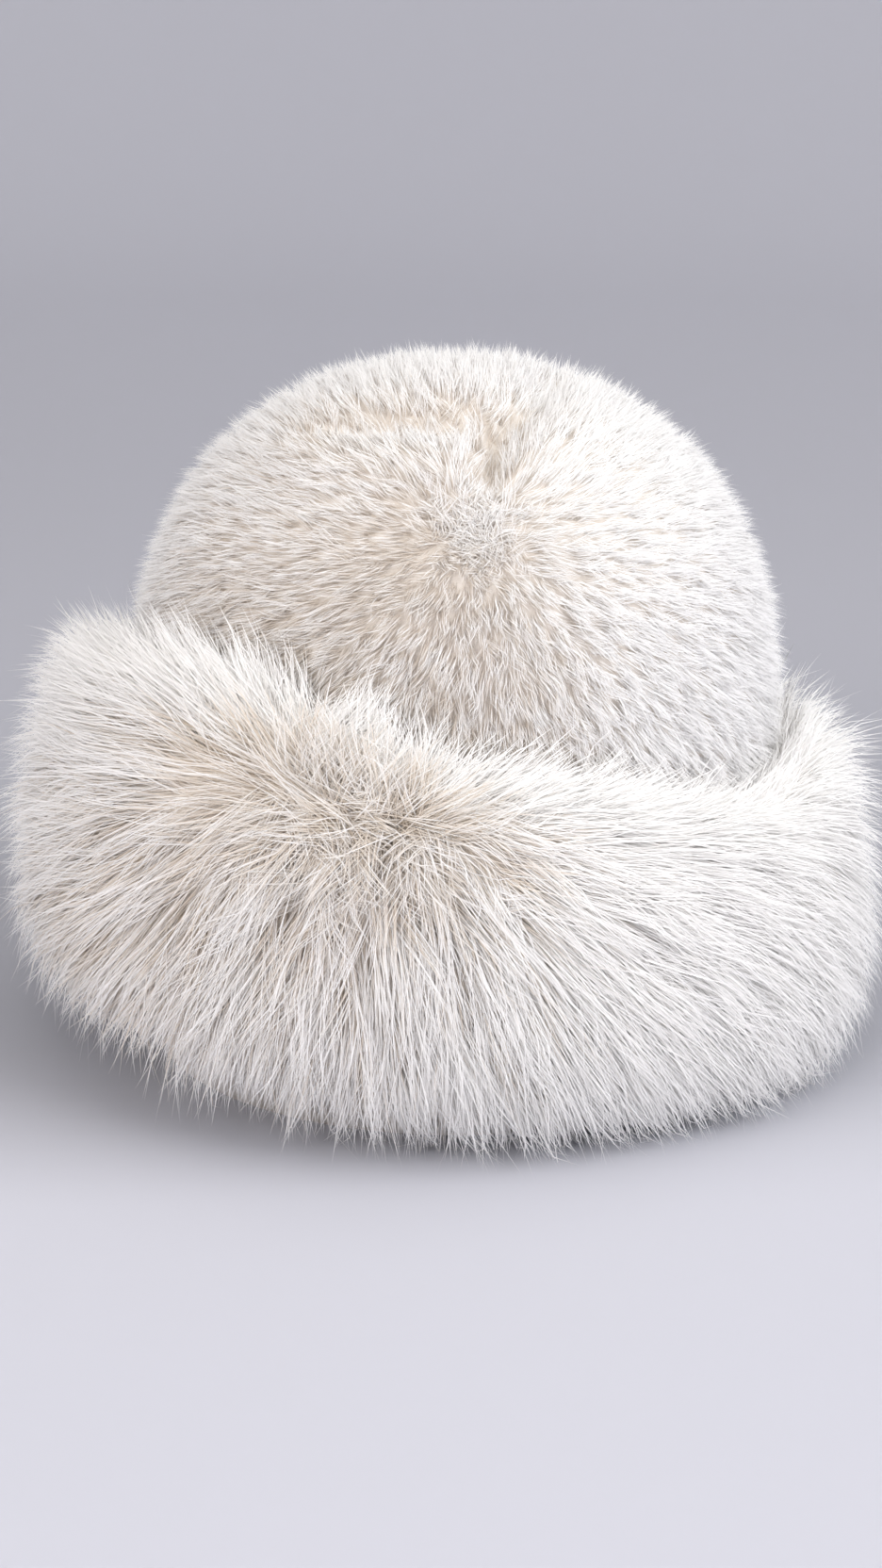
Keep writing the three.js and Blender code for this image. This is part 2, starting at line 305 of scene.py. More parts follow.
class Skin(ABC):
    """An outline that fur lies along. A spot is a place on it."""

    @abstractmethod
    def points(self, spots: np.ndarray, lift: np.ndarray | float) -> np.ndarray:
        """Places of spots in millimetres, moved off the outline by lift."""

    @abstractmethod
    def normals(self, spots: np.ndarray) -> np.ndarray:
        """Outward unit normals at spots."""

    @abstractmethod
    def flow(self, spots: np.ndarray) -> np.ndarray:
        """Unit vectors along the outline, the way that the fur lies."""

    @abstractmethod
    def advance(self, spots: np.ndarray, step: np.ndarray) -> np.ndarray:
        """Spots moved along the outline by steps in millimetres."""

    @abstractmethod
    def scatter(self, count: int, rng: np.random.Generator) -> np.ndarray:
        """Spots spread evenly over the furred part, by chance where they come from the source."""

    @abstractmethod
    def cream_and_painted_light(self, spots: np.ndarray) -> np.ndarray:
        """How much cream shows at spots, from 0 (white) to 1, with painted shade added and painted light
        taken off.
        """

    @abstractmethod
    def calm(self, spots: np.ndarray) -> np.ndarray:
        """How orderly the fur is at spots, from 0 (tangled) to 1 (combed)."""

    @abstractmethod
    def length_share(self, spots: np.ndarray) -> np.ndarray:
        """How long the fur is at spots, in shares of the coat's length."""

    @abstractmethod
    def rising(self, spots: np.ndarray, normals: np.ndarray) -> np.ndarray:
        """Unit vectors, the way that ruffled fur stands at spots with these normals."""

    @abstractmethod
    def ruffle(self, spots: np.ndarray) -> np.ndarray:
        """How far the fur stands up at spots: slopes off the outline, 0 where it lies flat."""

    @abstractmethod
    def spring(self, spots: np.ndarray) -> np.ndarray:
        """How straight the fur stays where the outline bends away, from 0 (follows it) to 1."""

    @abstractmethod
    def lowest(self, places: np.ndarray) -> np.ndarray:
        """Heights in millimetres that hair tips at these places keep above."""

    @abstractmethod
    def clumping(self, spots: np.ndarray) -> np.ndarray:
        """How much the hairs of a lock close up, in shares of the coat's own gather."""

    @abstractmethod
    def facing(self, spots: np.ndarray) -> np.ndarray:
        """Which way the fur as a whole faces: unit vectors, smoother than the normals."""

    def along_skin(self, vectors: np.ndarray, normals: np.ndarray) -> np.ndarray:
        """Unit vectors laid down on the outline, without their part along its normals."""
        return unit(vectors - (vectors * normals).sum(-1, keepdims=True) * normals)


@dataclass(frozen=True)
class CrownSkin(Skin):
    """The crown's outside. A spot is a unit vector from the middle of the dome's foot.

    The fur starts at the height fur_from of that vector, and goes on fur_below_ridge under the cuff's ridge.
    The probe is the step by which slopes are measured.
    """

    sizes: HatSizes = SIZES
    whorl: Path = ((4, 43),)
    crease_width: float = 0.035
    fur_from: float = -0.36
    fur_below_ridge: float = 16.0
    probe: float = 0.02

    def fold_height(self, spots: np.ndarray) -> np.ndarray:
        """How far the folds move the outline outwards.

        Args:
            spots: array of unit vectors.

        Returns:
            Minus the sum of each fold's sink times exp of minus its squared distance in widths.
        """
        radius = self.sizes.crown_radius
        height = np.zeros(len(spots))
        for fold in FOLDS:
            distance = path_distance(spots * radius, ways(fold.path) * radius)
            height -= fold.sink * radius * bell(distance, fold.width * radius)
        return height

    def wall_radius(self, height: np.ndarray) -> np.ndarray:
        """Radius of the upright wall.

        Args:
            height: millimetres above the floor.

        Returns:
            A quarter of a sine wave from the hem's radius to the widest.
        """
        size = self.sizes
        rise = np.sin(0.5 * math.pi * np.clip(height / size.spring_height, 0.0, 1.0))
        return size.hem_radius + (size.crown_radius - size.hem_radius) * rise

    def points(self, spots: np.ndarray, lift: np.ndarray | float) -> np.ndarray:
        """Places of spots.

        Args:
            spots: array of unit vectors.
            lift: distance off the outline.

        Returns:
            The dome's outline above its foot and the wall's below it, where its radius is found in two steps,
            with the folds.
        """
        size = self.sizes
        flat = np.maximum(np.hypot(spots[:, 0], spots[:, 1]), 1e-6)
        tall = spots[:, 2]
        power = size.fullness
        dome = (flat / size.crown_radius) ** power
        dome = dome + (np.maximum(tall, 0.0) / size.dome_rise) ** power
        reach = dome ** (-1.0 / power)
        slope = np.minimum(tall, 0.0) / flat
        height = size.spring_height + size.crown_radius * slope
        height = size.spring_height + self.wall_radius(height) * slope
        reach = np.where(tall < 0.0, self.wall_radius(height) / flat, reach)
        fade = np.clip(height / size.spring_height, 0.0, 1.0)
        grown = reach + self.fold_height(spots) * fade + lift
        return size.spring + spots * grown[:, None]

    def normals(self, spots: np.ndarray) -> np.ndarray:
        """Outward normals at spots.

        Args:
            spots: array of unit vectors.

        Returns:
            The cross product of the differences along two directions that are square to the spot.
        """
        helper = np.where(np.abs(spots[:, 2:]) < 0.9, [UP], [[1.0, 0.0, 0.0]])
        east = unit(np.cross(helper, spots))
        north = np.cross(spots, east)
        across, upward = (
            self.points(unit(spots + step), 0.0) - self.points(unit(spots - step), 0.0)
            for step in (self.probe * east, self.probe * north)
        )
        return unit(np.cross(across, upward))

    def flow(self, spots: np.ndarray) -> np.ndarray:
        """Which way the fur lies: away from the whorl and the crease, and downwards far behind.

        Args:
            spots: array of unit vectors.

        Returns:
            Unit vectors along the outline.
        """
        normals = self.normals(spots)
        from_whorl = spots - ways(self.whorl)
        away = self.along_skin(from_whorl, normals)
        aside = spots - nearest_point(spots, ways(CREASE))
        near = bell(np.linalg.norm(aside, axis=-1, keepdims=True), self.crease_width)
        away = away + 0.8 * near * self.along_skin(aside, normals)
        down = self.along_skin(np.broadcast_to(-UP, spots.shape), normals)
        behind = smoothstep(0.6, 1.5, np.linalg.norm(from_whorl, axis=-1))
        fall = 0.9 * behind * smoothstep(0.95, 0.7, spots[:, 2])
        return self.along_skin(away + fall[:, None] * down, normals)

    def advance(self, spots: np.ndarray, step: np.ndarray) -> np.ndarray:
        """The directions to the moved places."""
        return unit(self.points(spots, 0.0) + step - self.sizes.spring)

    def scatter(self, count: int, rng: np.random.Generator) -> np.ndarray:
        """Spreads spots over the dome and the top of the wall by a golden spiral with a little chance.

        Args:
            count: how many.
            rng: source of chance.

        Returns:
            Array of unit vectors that the cuff doesn't hide.
        """
        index = np.arange(count) + 0.5
        tall = self.fur_from + (1.0 - self.fur_from) * index / count
        turn = index * math.pi * (3.0 - math.sqrt(5.0))
        flat = np.sqrt(1.0 - tall * tall)
        spots = np.stack([flat * np.cos(turn), flat * np.sin(turn), tall], -1)
        spots = unit(spots + rng.normal(0.0, 1.2 / math.sqrt(count), spots.shape))
        extra = np.broadcast_to(ways(self.whorl), (round(0.012 * count), 3))
        spots = np.vstack([spots, unit(extra + rng.normal(0.0, 0.06, extra.shape))])
        places = self.points(spots, 0.0)
        azimuth = np.degrees(np.arctan2(places[:, 0], -places[:, 1]))
        ridge = around("ridge", azimuth) * self.sizes.hat_height
        return spots[places[:, 2] > ridge - self.fur_below_ridge]

    def cream_and_painted_light(self, spots: np.ndarray) -> np.ndarray:
        """Cream round the whorl and in the hollow; painted shade in the crease, over the low front and on the
        left; painted light, whiter, to the right.

        Args:
            spots: array of unit vectors.

        Returns:
            Shares from 0 to 1.
        """
        radius = self.sizes.crown_radius
        cream_and_shade = np.zeros(len(spots))
        for patch in CREAM_AND_SHADE_PATCHES:
            cream_and_shade += patch.cream * bell(path_distance(spots * radius, ways(patch.path) * radius), patch.width)
        # Painted shade on the left side, and painted light that whitens the right side, where the key lamp
        # falls.
        left, right = smoothstep(0.0, -0.5, spots[:, 0]), smoothstep(0.1, 0.6, spots[:, 0])
        return np.clip(0.42 + cream_and_shade + 0.14 * left - 0.46 * right, 0.0, 1.0)

    def calm(self, spots: np.ndarray) -> np.ndarray:
        """Tangled round the whorl and in the hollow.

        Args:
            spots: array of unit vectors.

        Returns:
            Shares from 0 to 1.
        """
        whorl = path_distance(spots, ways(self.whorl)) / 0.2
        hollow = path_distance(spots, ways(HOLLOW)) / 0.11
        return smoothstep(0.0, 1.0, np.minimum(whorl, hollow))

    def length_share(self, spots: np.ndarray) -> np.ndarray:
        """Shorter round the whorl, in the hollow and in the crease.

        Args:
            spots: array of unit vectors.

        Returns:
            Shares of the coat's length.
        """
        crease = 1.0 - 0.5 * bell(path_distance(spots, ways(CREASE)), self.crease_width)
        hollow = 1.0 - 0.35 * bell(path_distance(spots, ways(HOLLOW)), 0.08)
        return (0.75 + 0.25 * self.calm(spots)) * (crease * hollow)

    def rising(self, spots: np.ndarray, normals: np.ndarray) -> np.ndarray:
        """Straight off the outline."""
        return normals

    def ruffle(self, spots: np.ndarray) -> np.ndarray:
        """Fur that stands a little off the crown, but lies in the whorl."""
        return 0.1 + 0.16 * self.calm(spots)

    def spring(self, spots: np.ndarray) -> np.ndarray:
        """Fur that bends half as much as the outline, everywhere."""
        return np.full(len(spots), 0.5)

    def clumping(self, spots: np.ndarray) -> np.ndarray:
        """Loose locks to the right, where the fur is downy."""
        return 1.0 - 0.9 * smoothstep(0.0, 0.5, spots[:, 0])

    def facing(self, spots: np.ndarray) -> np.ndarray:
        """The normals, with the folds softened, and turned up a little low on the crown."""
        low = 0.4 * smoothstep(0.45, -0.2, spots[:, 2])
        return unit(self.normals(spots) + 0.25 * spots + low[:, None] * UP)

    def lowest(self, places: np.ndarray) -> np.ndarray:
        """The floor's height, because nothing holds the crown's fur up."""
        return np.zeros(places.shape[:-1])


@dataclass(frozen=True)
class CuffSkin(Skin):
    """The cuff's outside. A spot is an azimuth in degrees and the share of the way from ridge to foot.

    Shares below 0 run from the ridge down the lip to the crown, which is reached at minus LIP. The fur starts
    at LIP_FUR and leaves the outline at FOOT. The fur parts along the source. The probe holds the steps by
    which slopes are measured, in degrees round and in shares down.
    """

    LIP = 0.25
    LIP_FUR = -0.24
    FOOT = 1.0
    sizes: HatSizes = SIZES
    parting: Path = ((-25, 0.2), (-4, 0.22))
    parting_sink: float = 8.0
    parting_width: float = 14.0
    source: Path = ((-23, 0.215), (-16, 0.235), (-10, 0.235), (-3, 0.19))
    probe: tuple[float, float] = (0.5, 0.012)

    def line(self, path: Path) -> np.ndarray:
        """Places of a path of azimuths and shares, without the parting."""
        return self.roll(*np.array(path, float).T)

    def seat_radius(self, azimuth: np.ndarray, height: np.ndarray) -> np.ndarray:
        """Radius from the cuff's middle of the crown's outside.

        Args:
            azimuth: degrees from the front.
            height: millimetres above the floor.

        Returns:
            The distance to a circle whose middle is shifted to the right.
        """
        size = self.sizes
        wall = CrownSkin(size).wall_radius(height)
        tall = np.clip((height - size.spring_height) / size.dome_rise, 0.0, 1.0)
        wall = wall * (1.0 - tall**size.fullness) ** (1.0 / size.fullness) + size.fit
        side = size.crown_shift * np.sin(np.radians(azimuth))
        ahead = size.crown_shift * np.cos(np.radians(azimuth))
        return side + np.sqrt(wall * wall - ahead * ahead)

    def roll(self, azimuth: np.ndarray, along: np.ndarray) -> np.ndarray:
        """The cuff's outline without its parting.

        Args:
            azimuth: degrees from the front.
            along: share of the way from ridge to foot.

        Returns:
            Two quarters of ellipses, from ridge to belly and from belly to foot, and a third for the lip.
        """
        size = self.sizes
        height, reach = size.hat_height, size.body_reach
        ridge = around("ridge", azimuth) * height
        crest = around("crest", azimuth) * reach
        waist = around("waist", azimuth) * height
        upper = along < 0.5
        end = np.where(upper, crest, around("foot", azimuth) * reach)
        drop = np.where(upper, ridge - waist, waist - around("lift", azimuth) * height)
        swing = math.pi * np.maximum(along, 0.0)
        radius = end + (around("belly", azimuth) * reach - end) * np.sin(swing)
        level = waist + drop * np.cos(swing)
        near = self.seat_radius(azimuth, ridge - size.crest_drop)
        turn = 0.5 * math.pi * np.clip(-along / self.LIP, 0.0, 1.0)
        radius = np.where(along < 0.0, near + (crest - near) * (1.0 - np.sin(turn)), radius)
        level = np.where(along < 0.0, ridge - size.crest_drop * (1.0 - np.cos(turn)), level)
        return outward(azimuth) * radius[:, None] + UP * level[:, None]

    def slopes(self, spots: np.ndarray) -> tuple[np.ndarray, np.ndarray]:
        """Changes of place per degree round and per share down.

        Args:
            spots: array of azimuths and shares.

        Returns:
            Two arrays of vectors.
        """
        azimuth, along = spots.T
        inner = np.clip(along, -self.LIP + 0.02, self.FOOT - 0.015)
        turn, step = self.probe
        round_ = self.roll(azimuth + turn, inner) - self.roll(azimuth - turn, inner)
        down = (self.roll(azimuth, inner + step) - self.roll(azimuth, inner - step)) / (2.0 * step)
        return round_, down

    def normals(self, spots: np.ndarray) -> np.ndarray:
        """The cross product of the slopes down and round."""
        round_, down = self.slopes(spots)
        return unit(np.cross(down, round_))

    def points(self, spots: np.ndarray, lift: np.ndarray | float) -> np.ndarray:
        """Places of spots.

        Args:
            spots: array of azimuths and shares.
            lift: distance off the outline.

        Returns:
            The outline, sunk along the parting by its depth times exp of minus the squared distance.
        """
        places = self.roll(*spots.T)
        distance = path_distance(places, self.line(self.parting))
        height = lift - self.parting_sink * bell(distance, self.parting_width)
        return places + self.normals(spots) * height[:, None]

    def flow(self, spots: np.ndarray) -> np.ndarray:
        """Which way the fur lies: away from the parting, and more and more downwards behind.

        Args:
            spots: array of azimuths and shares.

        Returns:
            Unit vectors along the outline.
        """
        places = self.roll(*spots.T)
        normals = self.normals(spots)
        nearest = places - nearest_point(places, self.line(self.source))
        away = self.along_skin(nearest, normals)
        down = self.along_skin(self.slopes(spots)[1], normals)
        far = np.linalg.norm(nearest, axis=-1)
        behind = smoothstep(90.0, 240.0, far)
        lower = 0.25 * smoothstep(0.3, 0.9, spots[:, 1])
        return self.along_skin(away + (1.5 * behind + lower)[:, None] * down, normals)

    def advance(self, spots: np.ndarray, step: np.ndarray) -> np.ndarray:
        """Moves spots along the outline.

        Args:
            spots: array of azimuths and shares.
            step: array of vectors in millimetres.

        Returns:
            The spots plus the step resolved along the two slopes.
        """
        round_, down = self.slopes(spots)
        e, f, g = (round_ * round_).sum(-1), (round_ * down).sum(-1), (down * down).sum(-1)
        u, v = (step * round_).sum(-1), (step * down).sum(-1)
        area = np.maximum(e * g - f * f, 1e-9)
        moved = spots + np.stack([(u * g - v * f) / area, (v * e - u * f) / area], -1)
        moved[:, 1] = np.clip(moved[:, 1], self.LIP_FUR, self.FOOT + 0.2)
        return moved

    def scatter(self, count: int, rng: np.random.Generator) -> np.ndarray:
        """Spreads spots evenly from the lip to the foot.

        Args:
            count: how many.
            rng: source of chance.

        Returns:
            Azimuths by one irrational step and shares by another, the shares bent to equal areas.
        """
        index = np.arange(count) + 0.5
        azimuth = 360.0 * np.modf(index * EVEN_STEPS[0])[0] - 180.0
        chance = np.modf(index * EVEN_STEPS[1])[0]
        shares = np.linspace(self.LIP_FUR, self.FOOT, 80)
        areas = np.zeros(len(shares))
        for turn in azimuths(12):
            spots = np.stack([np.full_like(shares, turn), shares], -1)
            round_, down = self.slopes(spots)
            areas += np.linalg.norm(np.cross(round_, down), axis=-1)
        total = np.concatenate([[0.0], np.cumsum(0.5 * (areas[1:] + areas[:-1]))])
        along = np.interp(chance, total / total[-1], shares)
        spots = np.stack([azimuth, along], -1) + rng.normal(0.0, 1.0, (count, 2)) * [0.8, 0.01]
        extra = along_path(np.array(self.source), round(0.02 * count), rng)
        extra = extra + rng.normal(0.0, 1.0, extra.shape) * [3.5, 0.03]
        return np.vstack([spots, extra])

    def cream_and_painted_light(self, spots: np.ndarray) -> np.ndarray:
        """Cream round the parting and down the front; painted shade on the left; painted light, whiter, on
        the ridge and to the right.

        Args:
            spots: array of azimuths and shares.

        Returns:
            Shares from 0 to 1.
        """
        parting = path_distance(self.roll(*spots.T), self.line(self.parting))
        # Painted shade over the left side, away from the key lamp.
        left = bell(spots[:, 0] + 50.0, 45.0) * smoothstep(0.05, 0.5, spots[:, 1])
        cream_and_shade = 0.65 * bell(parting, 11.0) + 0.17 * bell(self.source_distance(spots), 34.0) + 0.5 * left
        # Painted light: whiter on the ridge, lit from above, and to the right, where the key lamp falls.
        ridge = smoothstep(0.2, 0.04, spots[:, 1])
        right = smoothstep(-5.0, 40.0, spots[:, 0])
        cream_and_shade = 0.46 + cream_and_shade * (1.0 - ridge) - (0.42 - 0.3 * right) * ridge - 0.3 * right
        return np.clip(cream_and_shade, 0.0, 1.0)

    def source_distance(self, spots: np.ndarray) -> np.ndarray:
        """Millimetres from spots to the line that the fur parts along."""
        return path_distance(self.roll(*spots.T), self.line(self.source))

    def calm(self, spots: np.ndarray) -> np.ndarray:
        """Tangled along the parting."""
        return smoothstep(-6.0, 30.0, self.source_distance(spots))

    def length_share(self, spots: np.ndarray) -> np.ndarray:
        """Shorter along the parting, on the ridge and most of all on the lip.

        Args:
            spots: array of azimuths and shares.

        Returns:
            Shares of the coat's length.
        """
        ridge = smoothstep(0.24, 0.06, spots[:, 1])
        lip = smoothstep(0.0, -0.12, spots[:, 1])
        return (0.55 + 0.45 * self.calm(spots)) * (1.0 - 0.35 * ridge) * (1.0 - 0.4 * lip)

    def rising(self, spots: np.ndarray, normals: np.ndarray) -> np.ndarray:
        """Off the outline, and straight up on the lip."""
        lip = smoothstep(0.02, -0.1, spots[:, 1])
        return unit(normals + (3.0 * lip)[:, None] * UP)

    def ruffle(self, spots: np.ndarray) -> np.ndarray:
        """Fur that stands up on the ridge and the lip, and a little along the parting.

        Args:
            spots: array of azimuths and shares.

        Returns:
            Slopes off the outline.
        """
        front = bell(spots[:, 0] + 26.0, 36.0)
        ridge = smoothstep(0.22, 0.02, spots[:, 1])
        lip = smoothstep(0.0, -0.12, spots[:, 1]) * (0.42 + 0.35 * front)
        parting = 0.5 * bell(self.source_distance(spots), 14.0)
        return ridge * (0.12 + 0.5 * front) + lip + parting

    def clumping(self, spots: np.ndarray) -> np.ndarray:
        """Loose locks to the right, where the fur is downy."""
        return 1.0 - 0.8 * smoothstep(-5.0, 45.0, spots[:, 0])

    def facing(self, spots: np.ndarray) -> np.ndarray:
        """The normals, but on the ridge and the lip those a little way down the outside."""
        return self.normals(np.stack([spots[:, 0], np.maximum(spots[:, 1], 0.1)], -1))

    def spring(self, spots: np.ndarray) -> np.ndarray:
        """Fur that stays straighter on the ridge and round the lower edge.

        Args:
            spots: array of azimuths and shares.

        Returns:
            Shares from 0 to 1.
        """
        ridge = smoothstep(0.25, 0.05, spots[:, 1])
        foot = smoothstep(0.35, 0.6, spots[:, 1])
        return 0.36 + 0.2 * ridge + 0.16 * foot

    def lowest(self, places: np.ndarray) -> np.ndarray:
        """Height of the fur's lower edge, which rises outwards from the foot.

        Args:
            places: array of places.

        Returns:
            Nine tenths of the foot's lift, three fifths of the reach beyond it, and more at the front left.
        """
        size = self.sizes
        azimuth = np.degrees(np.arctan2(places[..., 0], -places[..., 1]))
        radius = np.hypot(places[..., 0], places[..., 1])
        foot = around("foot", azimuth) * size.body_reach
        edge = 0.9 * around("lift", azimuth) * size.hat_height + 0.6 * np.maximum(radius - foot, 0.0)
        return edge + 8.0 * bell(azimuth + 43.0, 26.0)


@dataclass(frozen=True)
class CoatStyle:
    """How a coat of hair looks. Lengths are millimetres.

    Hairs grow in locks. A lock's line rises from depth under the outline to stand over it at the tip. Its
    hairs start within lock_radius of it and close in on it by the share gather. Guard hairs are the longer
    and looser ones. The tips reach past the cuff's own reach by the overhang at most.
    """

    locks: int
    hairs_per_lock: int
    length: float
    length_spread: float
    depth: float
    stand: float
    stand_spread: float
    lock_radius: float
    gather: float
    sway: float
    wave: float
    width: float
    stations: int
    guard_share: float
    guard_rise: float
    rise_power: float
    tone_spread: float
    overhang: float = 17.5


SHORT_COAT = CoatStyle(
    locks=12400,
    hairs_per_lock=15,
    length=9.0,
    length_spread=0.25,
    depth=3.6,
    stand=-1.1,
    stand_spread=0.45,
    lock_radius=1.9,
    gather=0.15,
    sway=0.3,
    wave=0.7,
    width=0.3,
    stations=3,
    guard_share=0.32,
    guard_rise=4.0,
    rise_power=1.4,
    tone_spread=0.07,
)
LONG_COAT = CoatStyle(
    locks=6200,
    hairs_per_lock=25,
    length=42.0,
    length_spread=0.25,
    depth=7.0,
    stand=-0.5,
    stand_spread=1.3,
    lock_radius=5.0,
    gather=0.45,
    sway=0.18,
    wave=2.6,
    width=0.34,
    stations=4,
    guard_share=0.3,
    guard_rise=11.0,
    rise_power=2.0,
    tone_spread=0.09,
)


@dataclass
class Hairs:
    """Hairs as lines of stations, with all that their ribbons need."""

    places: np.ndarray
    outward: np.ndarray
    tone: np.ndarray
    width: np.ndarray

    def share(self, part: slice) -> "Hairs":
        """The hairs that a slice picks."""
        return Hairs(self.places[part], self.outward[part], self.tone[part], self.width[part])


@dataclass
class Coat:
    """Grows hairs in locks on a skin.

    The pairs hold the least and the most that chance gives: how far hairs reach along their lock's line, how
    much they close in on it, and how far they go on where the line sinks below the skin's lowest height.
    """

    MIDDLE_GAIN = 0.35
    HAIR_REACH = (0.5, 0.75)
    GUARD_REACH = (0.9, 1.0)
    GUARD_GATHER = (-0.7, 0.6)
    FRINGE_GATHER = (0.4, 1.0)
    FRINGE_HAIR = (0.65, 0.9)
    FRINGE_GUARD = (0.9, 2.0)
    FRINGE_SLACK = 5.0
    UNCUT = 0.25
    skin: Skin
    style: CoatStyle
    seed: int
    dense: int = 12

    def lock_lines(self, roots: np.ndarray, rng: np.random.Generator) -> tuple[np.ndarray, np.ndarray]:
        """Middle lines of the locks.

        Each is a mix, by the skin's spring, of a line that keeps to the outline and a straight one that
        leaves it at the root. The straight one never goes into the outline.

        Args:
            roots: spots of the roots.
            rng: source of chance.

        Returns:
            Places and outward normals of shape (locks, dense + 1, 3).
        """
        style, skin = self.style, self.skin
        count = len(roots)
        calm, ruffle = skin.calm(roots), skin.ruffle(roots) * rng.uniform(0.3, 1.7, count)
        length = style.length * (1.0 + style.length_spread * rng.uniform(-1.0, 1.0, count))
        length *= skin.length_share(roots)
        spread = style.stand_spread * (0.3 + 0.7 * skin.clumping(roots))
        tip = style.stand + spread * rng.normal(0.0, 1.0, count)
        wild = style.sway * (1.0 + 5.0 * (1.0 - calm))
        turn, bend = wild * rng.normal(0.0, 1.0, count), wild * rng.normal(0.0, 1.0, count)
        spring = np.clip(skin.spring(roots) + 0.12 * rng.normal(0.0, 1.0, count), 0.0, 1.0)[:, None]
        along = (length / np.hypot(1.0, ruffle))[:, None]
        spots = roots.copy()
        places, normals = [], []
        for k in range(self.dense + 1):
            t = k / self.dense
            lift = -style.depth + (style.depth + tip) * (1.0 - (1.0 - t) ** style.rise_power)
            normal, flow = skin.normals(spots), skin.flow(spots)
            angle = turn + bend * (t - 0.3) * 2.0
            side = np.cross(normal, flow)
            heading = flow * np.cos(angle)[:, None] + side * np.sin(angle)[:, None]
            place = skin.points(spots, lift)
            if k == 0:
                start, slope, up = skin.points(spots, 0.0), heading, normal
                rising = skin.rising(spots, normal)
            heading = skin.along_skin(calm[:, None] * heading + (1.01 - calm)[:, None] * slope, normal)
            straight = start + slope * along * t + up * np.broadcast_to(lift, count)[:, None]
            apart = straight - place
            inward = np.minimum((apart * normal).sum(-1, keepdims=True), 0.0)
            places.append(place + spring * (apart - inward * normal) + rising * (ruffle * t)[:, None] * along)
            normals.append(skin.facing(spots))
            spots = skin.advance(spots, heading * along / self.dense)
        return np.stack(places, 1), np.stack(normals, 1)

    def line_ends(self, lines: np.ndarray, rng: np.random.Generator) -> tuple[np.ndarray, np.ndarray]:
        """Where the locks' lines sink below the skin's lowest height, give or take a little chance.

        Args:
            lines: places of the lines.
            rng: source of chance.

        Returns:
            The share of each line before that, and whether it sinks at all.
        """
        steps = np.linspace(0.0, 1.0, self.dense + 1)
        slack = rng.normal(0.0, self.FRINGE_SLACK, len(lines))[:, None]
        low = (lines[..., 2] < self.skin.lowest(lines) + slack) & (steps > self.UNCUT)
        sinks = low.any(1)
        return np.where(sinks, steps[low.argmax(1)], 1.0), sinks

    def kept_in(self, places: np.ndarray) -> np.ndarray:
        """Draws hairs in softly where they go out too far, and keeps them off the floor.

        Args:
            places: places of the hairs.

        Returns:
            The places. From half the overhang on, the rest of the way is r (1 - exp(-d / r)) of a distance d.
        """
        far = np.hypot(places[..., 0], places[..., 1])
        room = 0.5 * self.style.overhang
        near = np.minimum(far, SIZES.cuff_reach + room)
        scale = (near + room * (1.0 - np.exp((near - far) / room))) / far
        level = np.maximum(places[..., 2:], FLOOR_GAP)
        return np.concatenate([places[..., :2] * scale[..., None], level], -1)

    def grow(self) -> Hairs:
        """Grows all the hairs.

        Returns:
            The hairs: each follows its lock's line at an offset that closes in towards the tip, and ends
            above the skin's lowest height. Hairs near the middle of a lock are longer by MIDDLE_GAIN.
        """
        style, skin = self.style, self.skin
        rng = np.random.default_rng(self.seed)
        roots = skin.scatter(style.locks, rng)
        lines, facing = self.lock_lines(roots, rng)
        locks = len(roots)
        lock = np.repeat(np.arange(locks), style.hairs_per_lock)
        count = len(lock)
        flow = skin.flow(roots)
        side = np.cross(facing[:, 0], flow)
        radius = style.lock_radius * np.sqrt(rng.uniform(0.0, 1.0, count))
        angle = rng.uniform(0.0, 2.0 * math.pi, count)
        offset = (1.5 * radius * np.cos(angle))[:, None] * flow[lock]
        offset += (radius * np.sin(angle))[:, None] * side[lock]
        guard = rng.uniform(0.0, 1.0, count) < style.guard_share
        loose = style.gather * skin.clumping(roots)[lock] * rng.uniform(0.5, 1.5, count)
        gather = np.where(guard, rng.uniform(*self.GUARD_GATHER, count), loose)
        longer = self.MIDDLE_GAIN * (1.0 - radius / style.lock_radius)
        reach = np.where(
            guard, rng.uniform(*self.GUARD_REACH, count), rng.uniform(*self.HAIR_REACH, count) + longer
        )
        rise = 0.35 * style.stand_spread * rng.normal(0.0, 1.0, count)
        rise = np.where(guard, style.guard_rise * rng.uniform(0.0, 1.0, count), rise)
        phase = rng.uniform(0.0, 2.0 * math.pi, count)
        swing = style.wave * np.where(guard, 0.7, 0.5) * rng.normal(0.0, 1.0, count)

        ends, sinks = self.line_ends(lines, rng)
        fringe = sinks[lock] & ~guard
        gather = np.where(fringe, rng.uniform(*self.FRINGE_GATHER, count), gather)
        limit = ends[lock] * np.where(
            guard, rng.uniform(*self.FRINGE_GUARD, count), rng.uniform(*self.FRINGE_HAIR, count) + longer
        )
        swing = np.where(sinks[lock] & guard, 2.0 * swing, swing)
        end = np.minimum(reach, limit)[:, None]
        t = np.linspace(0.0, 1.0, style.stations)[None, :] * end
        first = np.floor(np.clip(t, 0.0, 0.9999) * self.dense).astype(int)
        share = (t * self.dense - first)[..., None]
        a, b = lines[lock[:, None], first], lines[lock[:, None], first + 1]
        out = facing[lock[:, None], first]
        closing = np.where(fringe[:, None], t / end, t) ** 1.3
        places = a + (b - a) * share
        places += offset[:, None, :] * (1.0 - gather[:, None] * closing)[..., None]
        curl = swing[:, None] * np.sin(3.4 * t + phase[:, None]) * t
        places += unit(np.cross(out, b - a)) * curl[..., None]
        places += out * (rise[:, None] * t**1.5)[..., None]

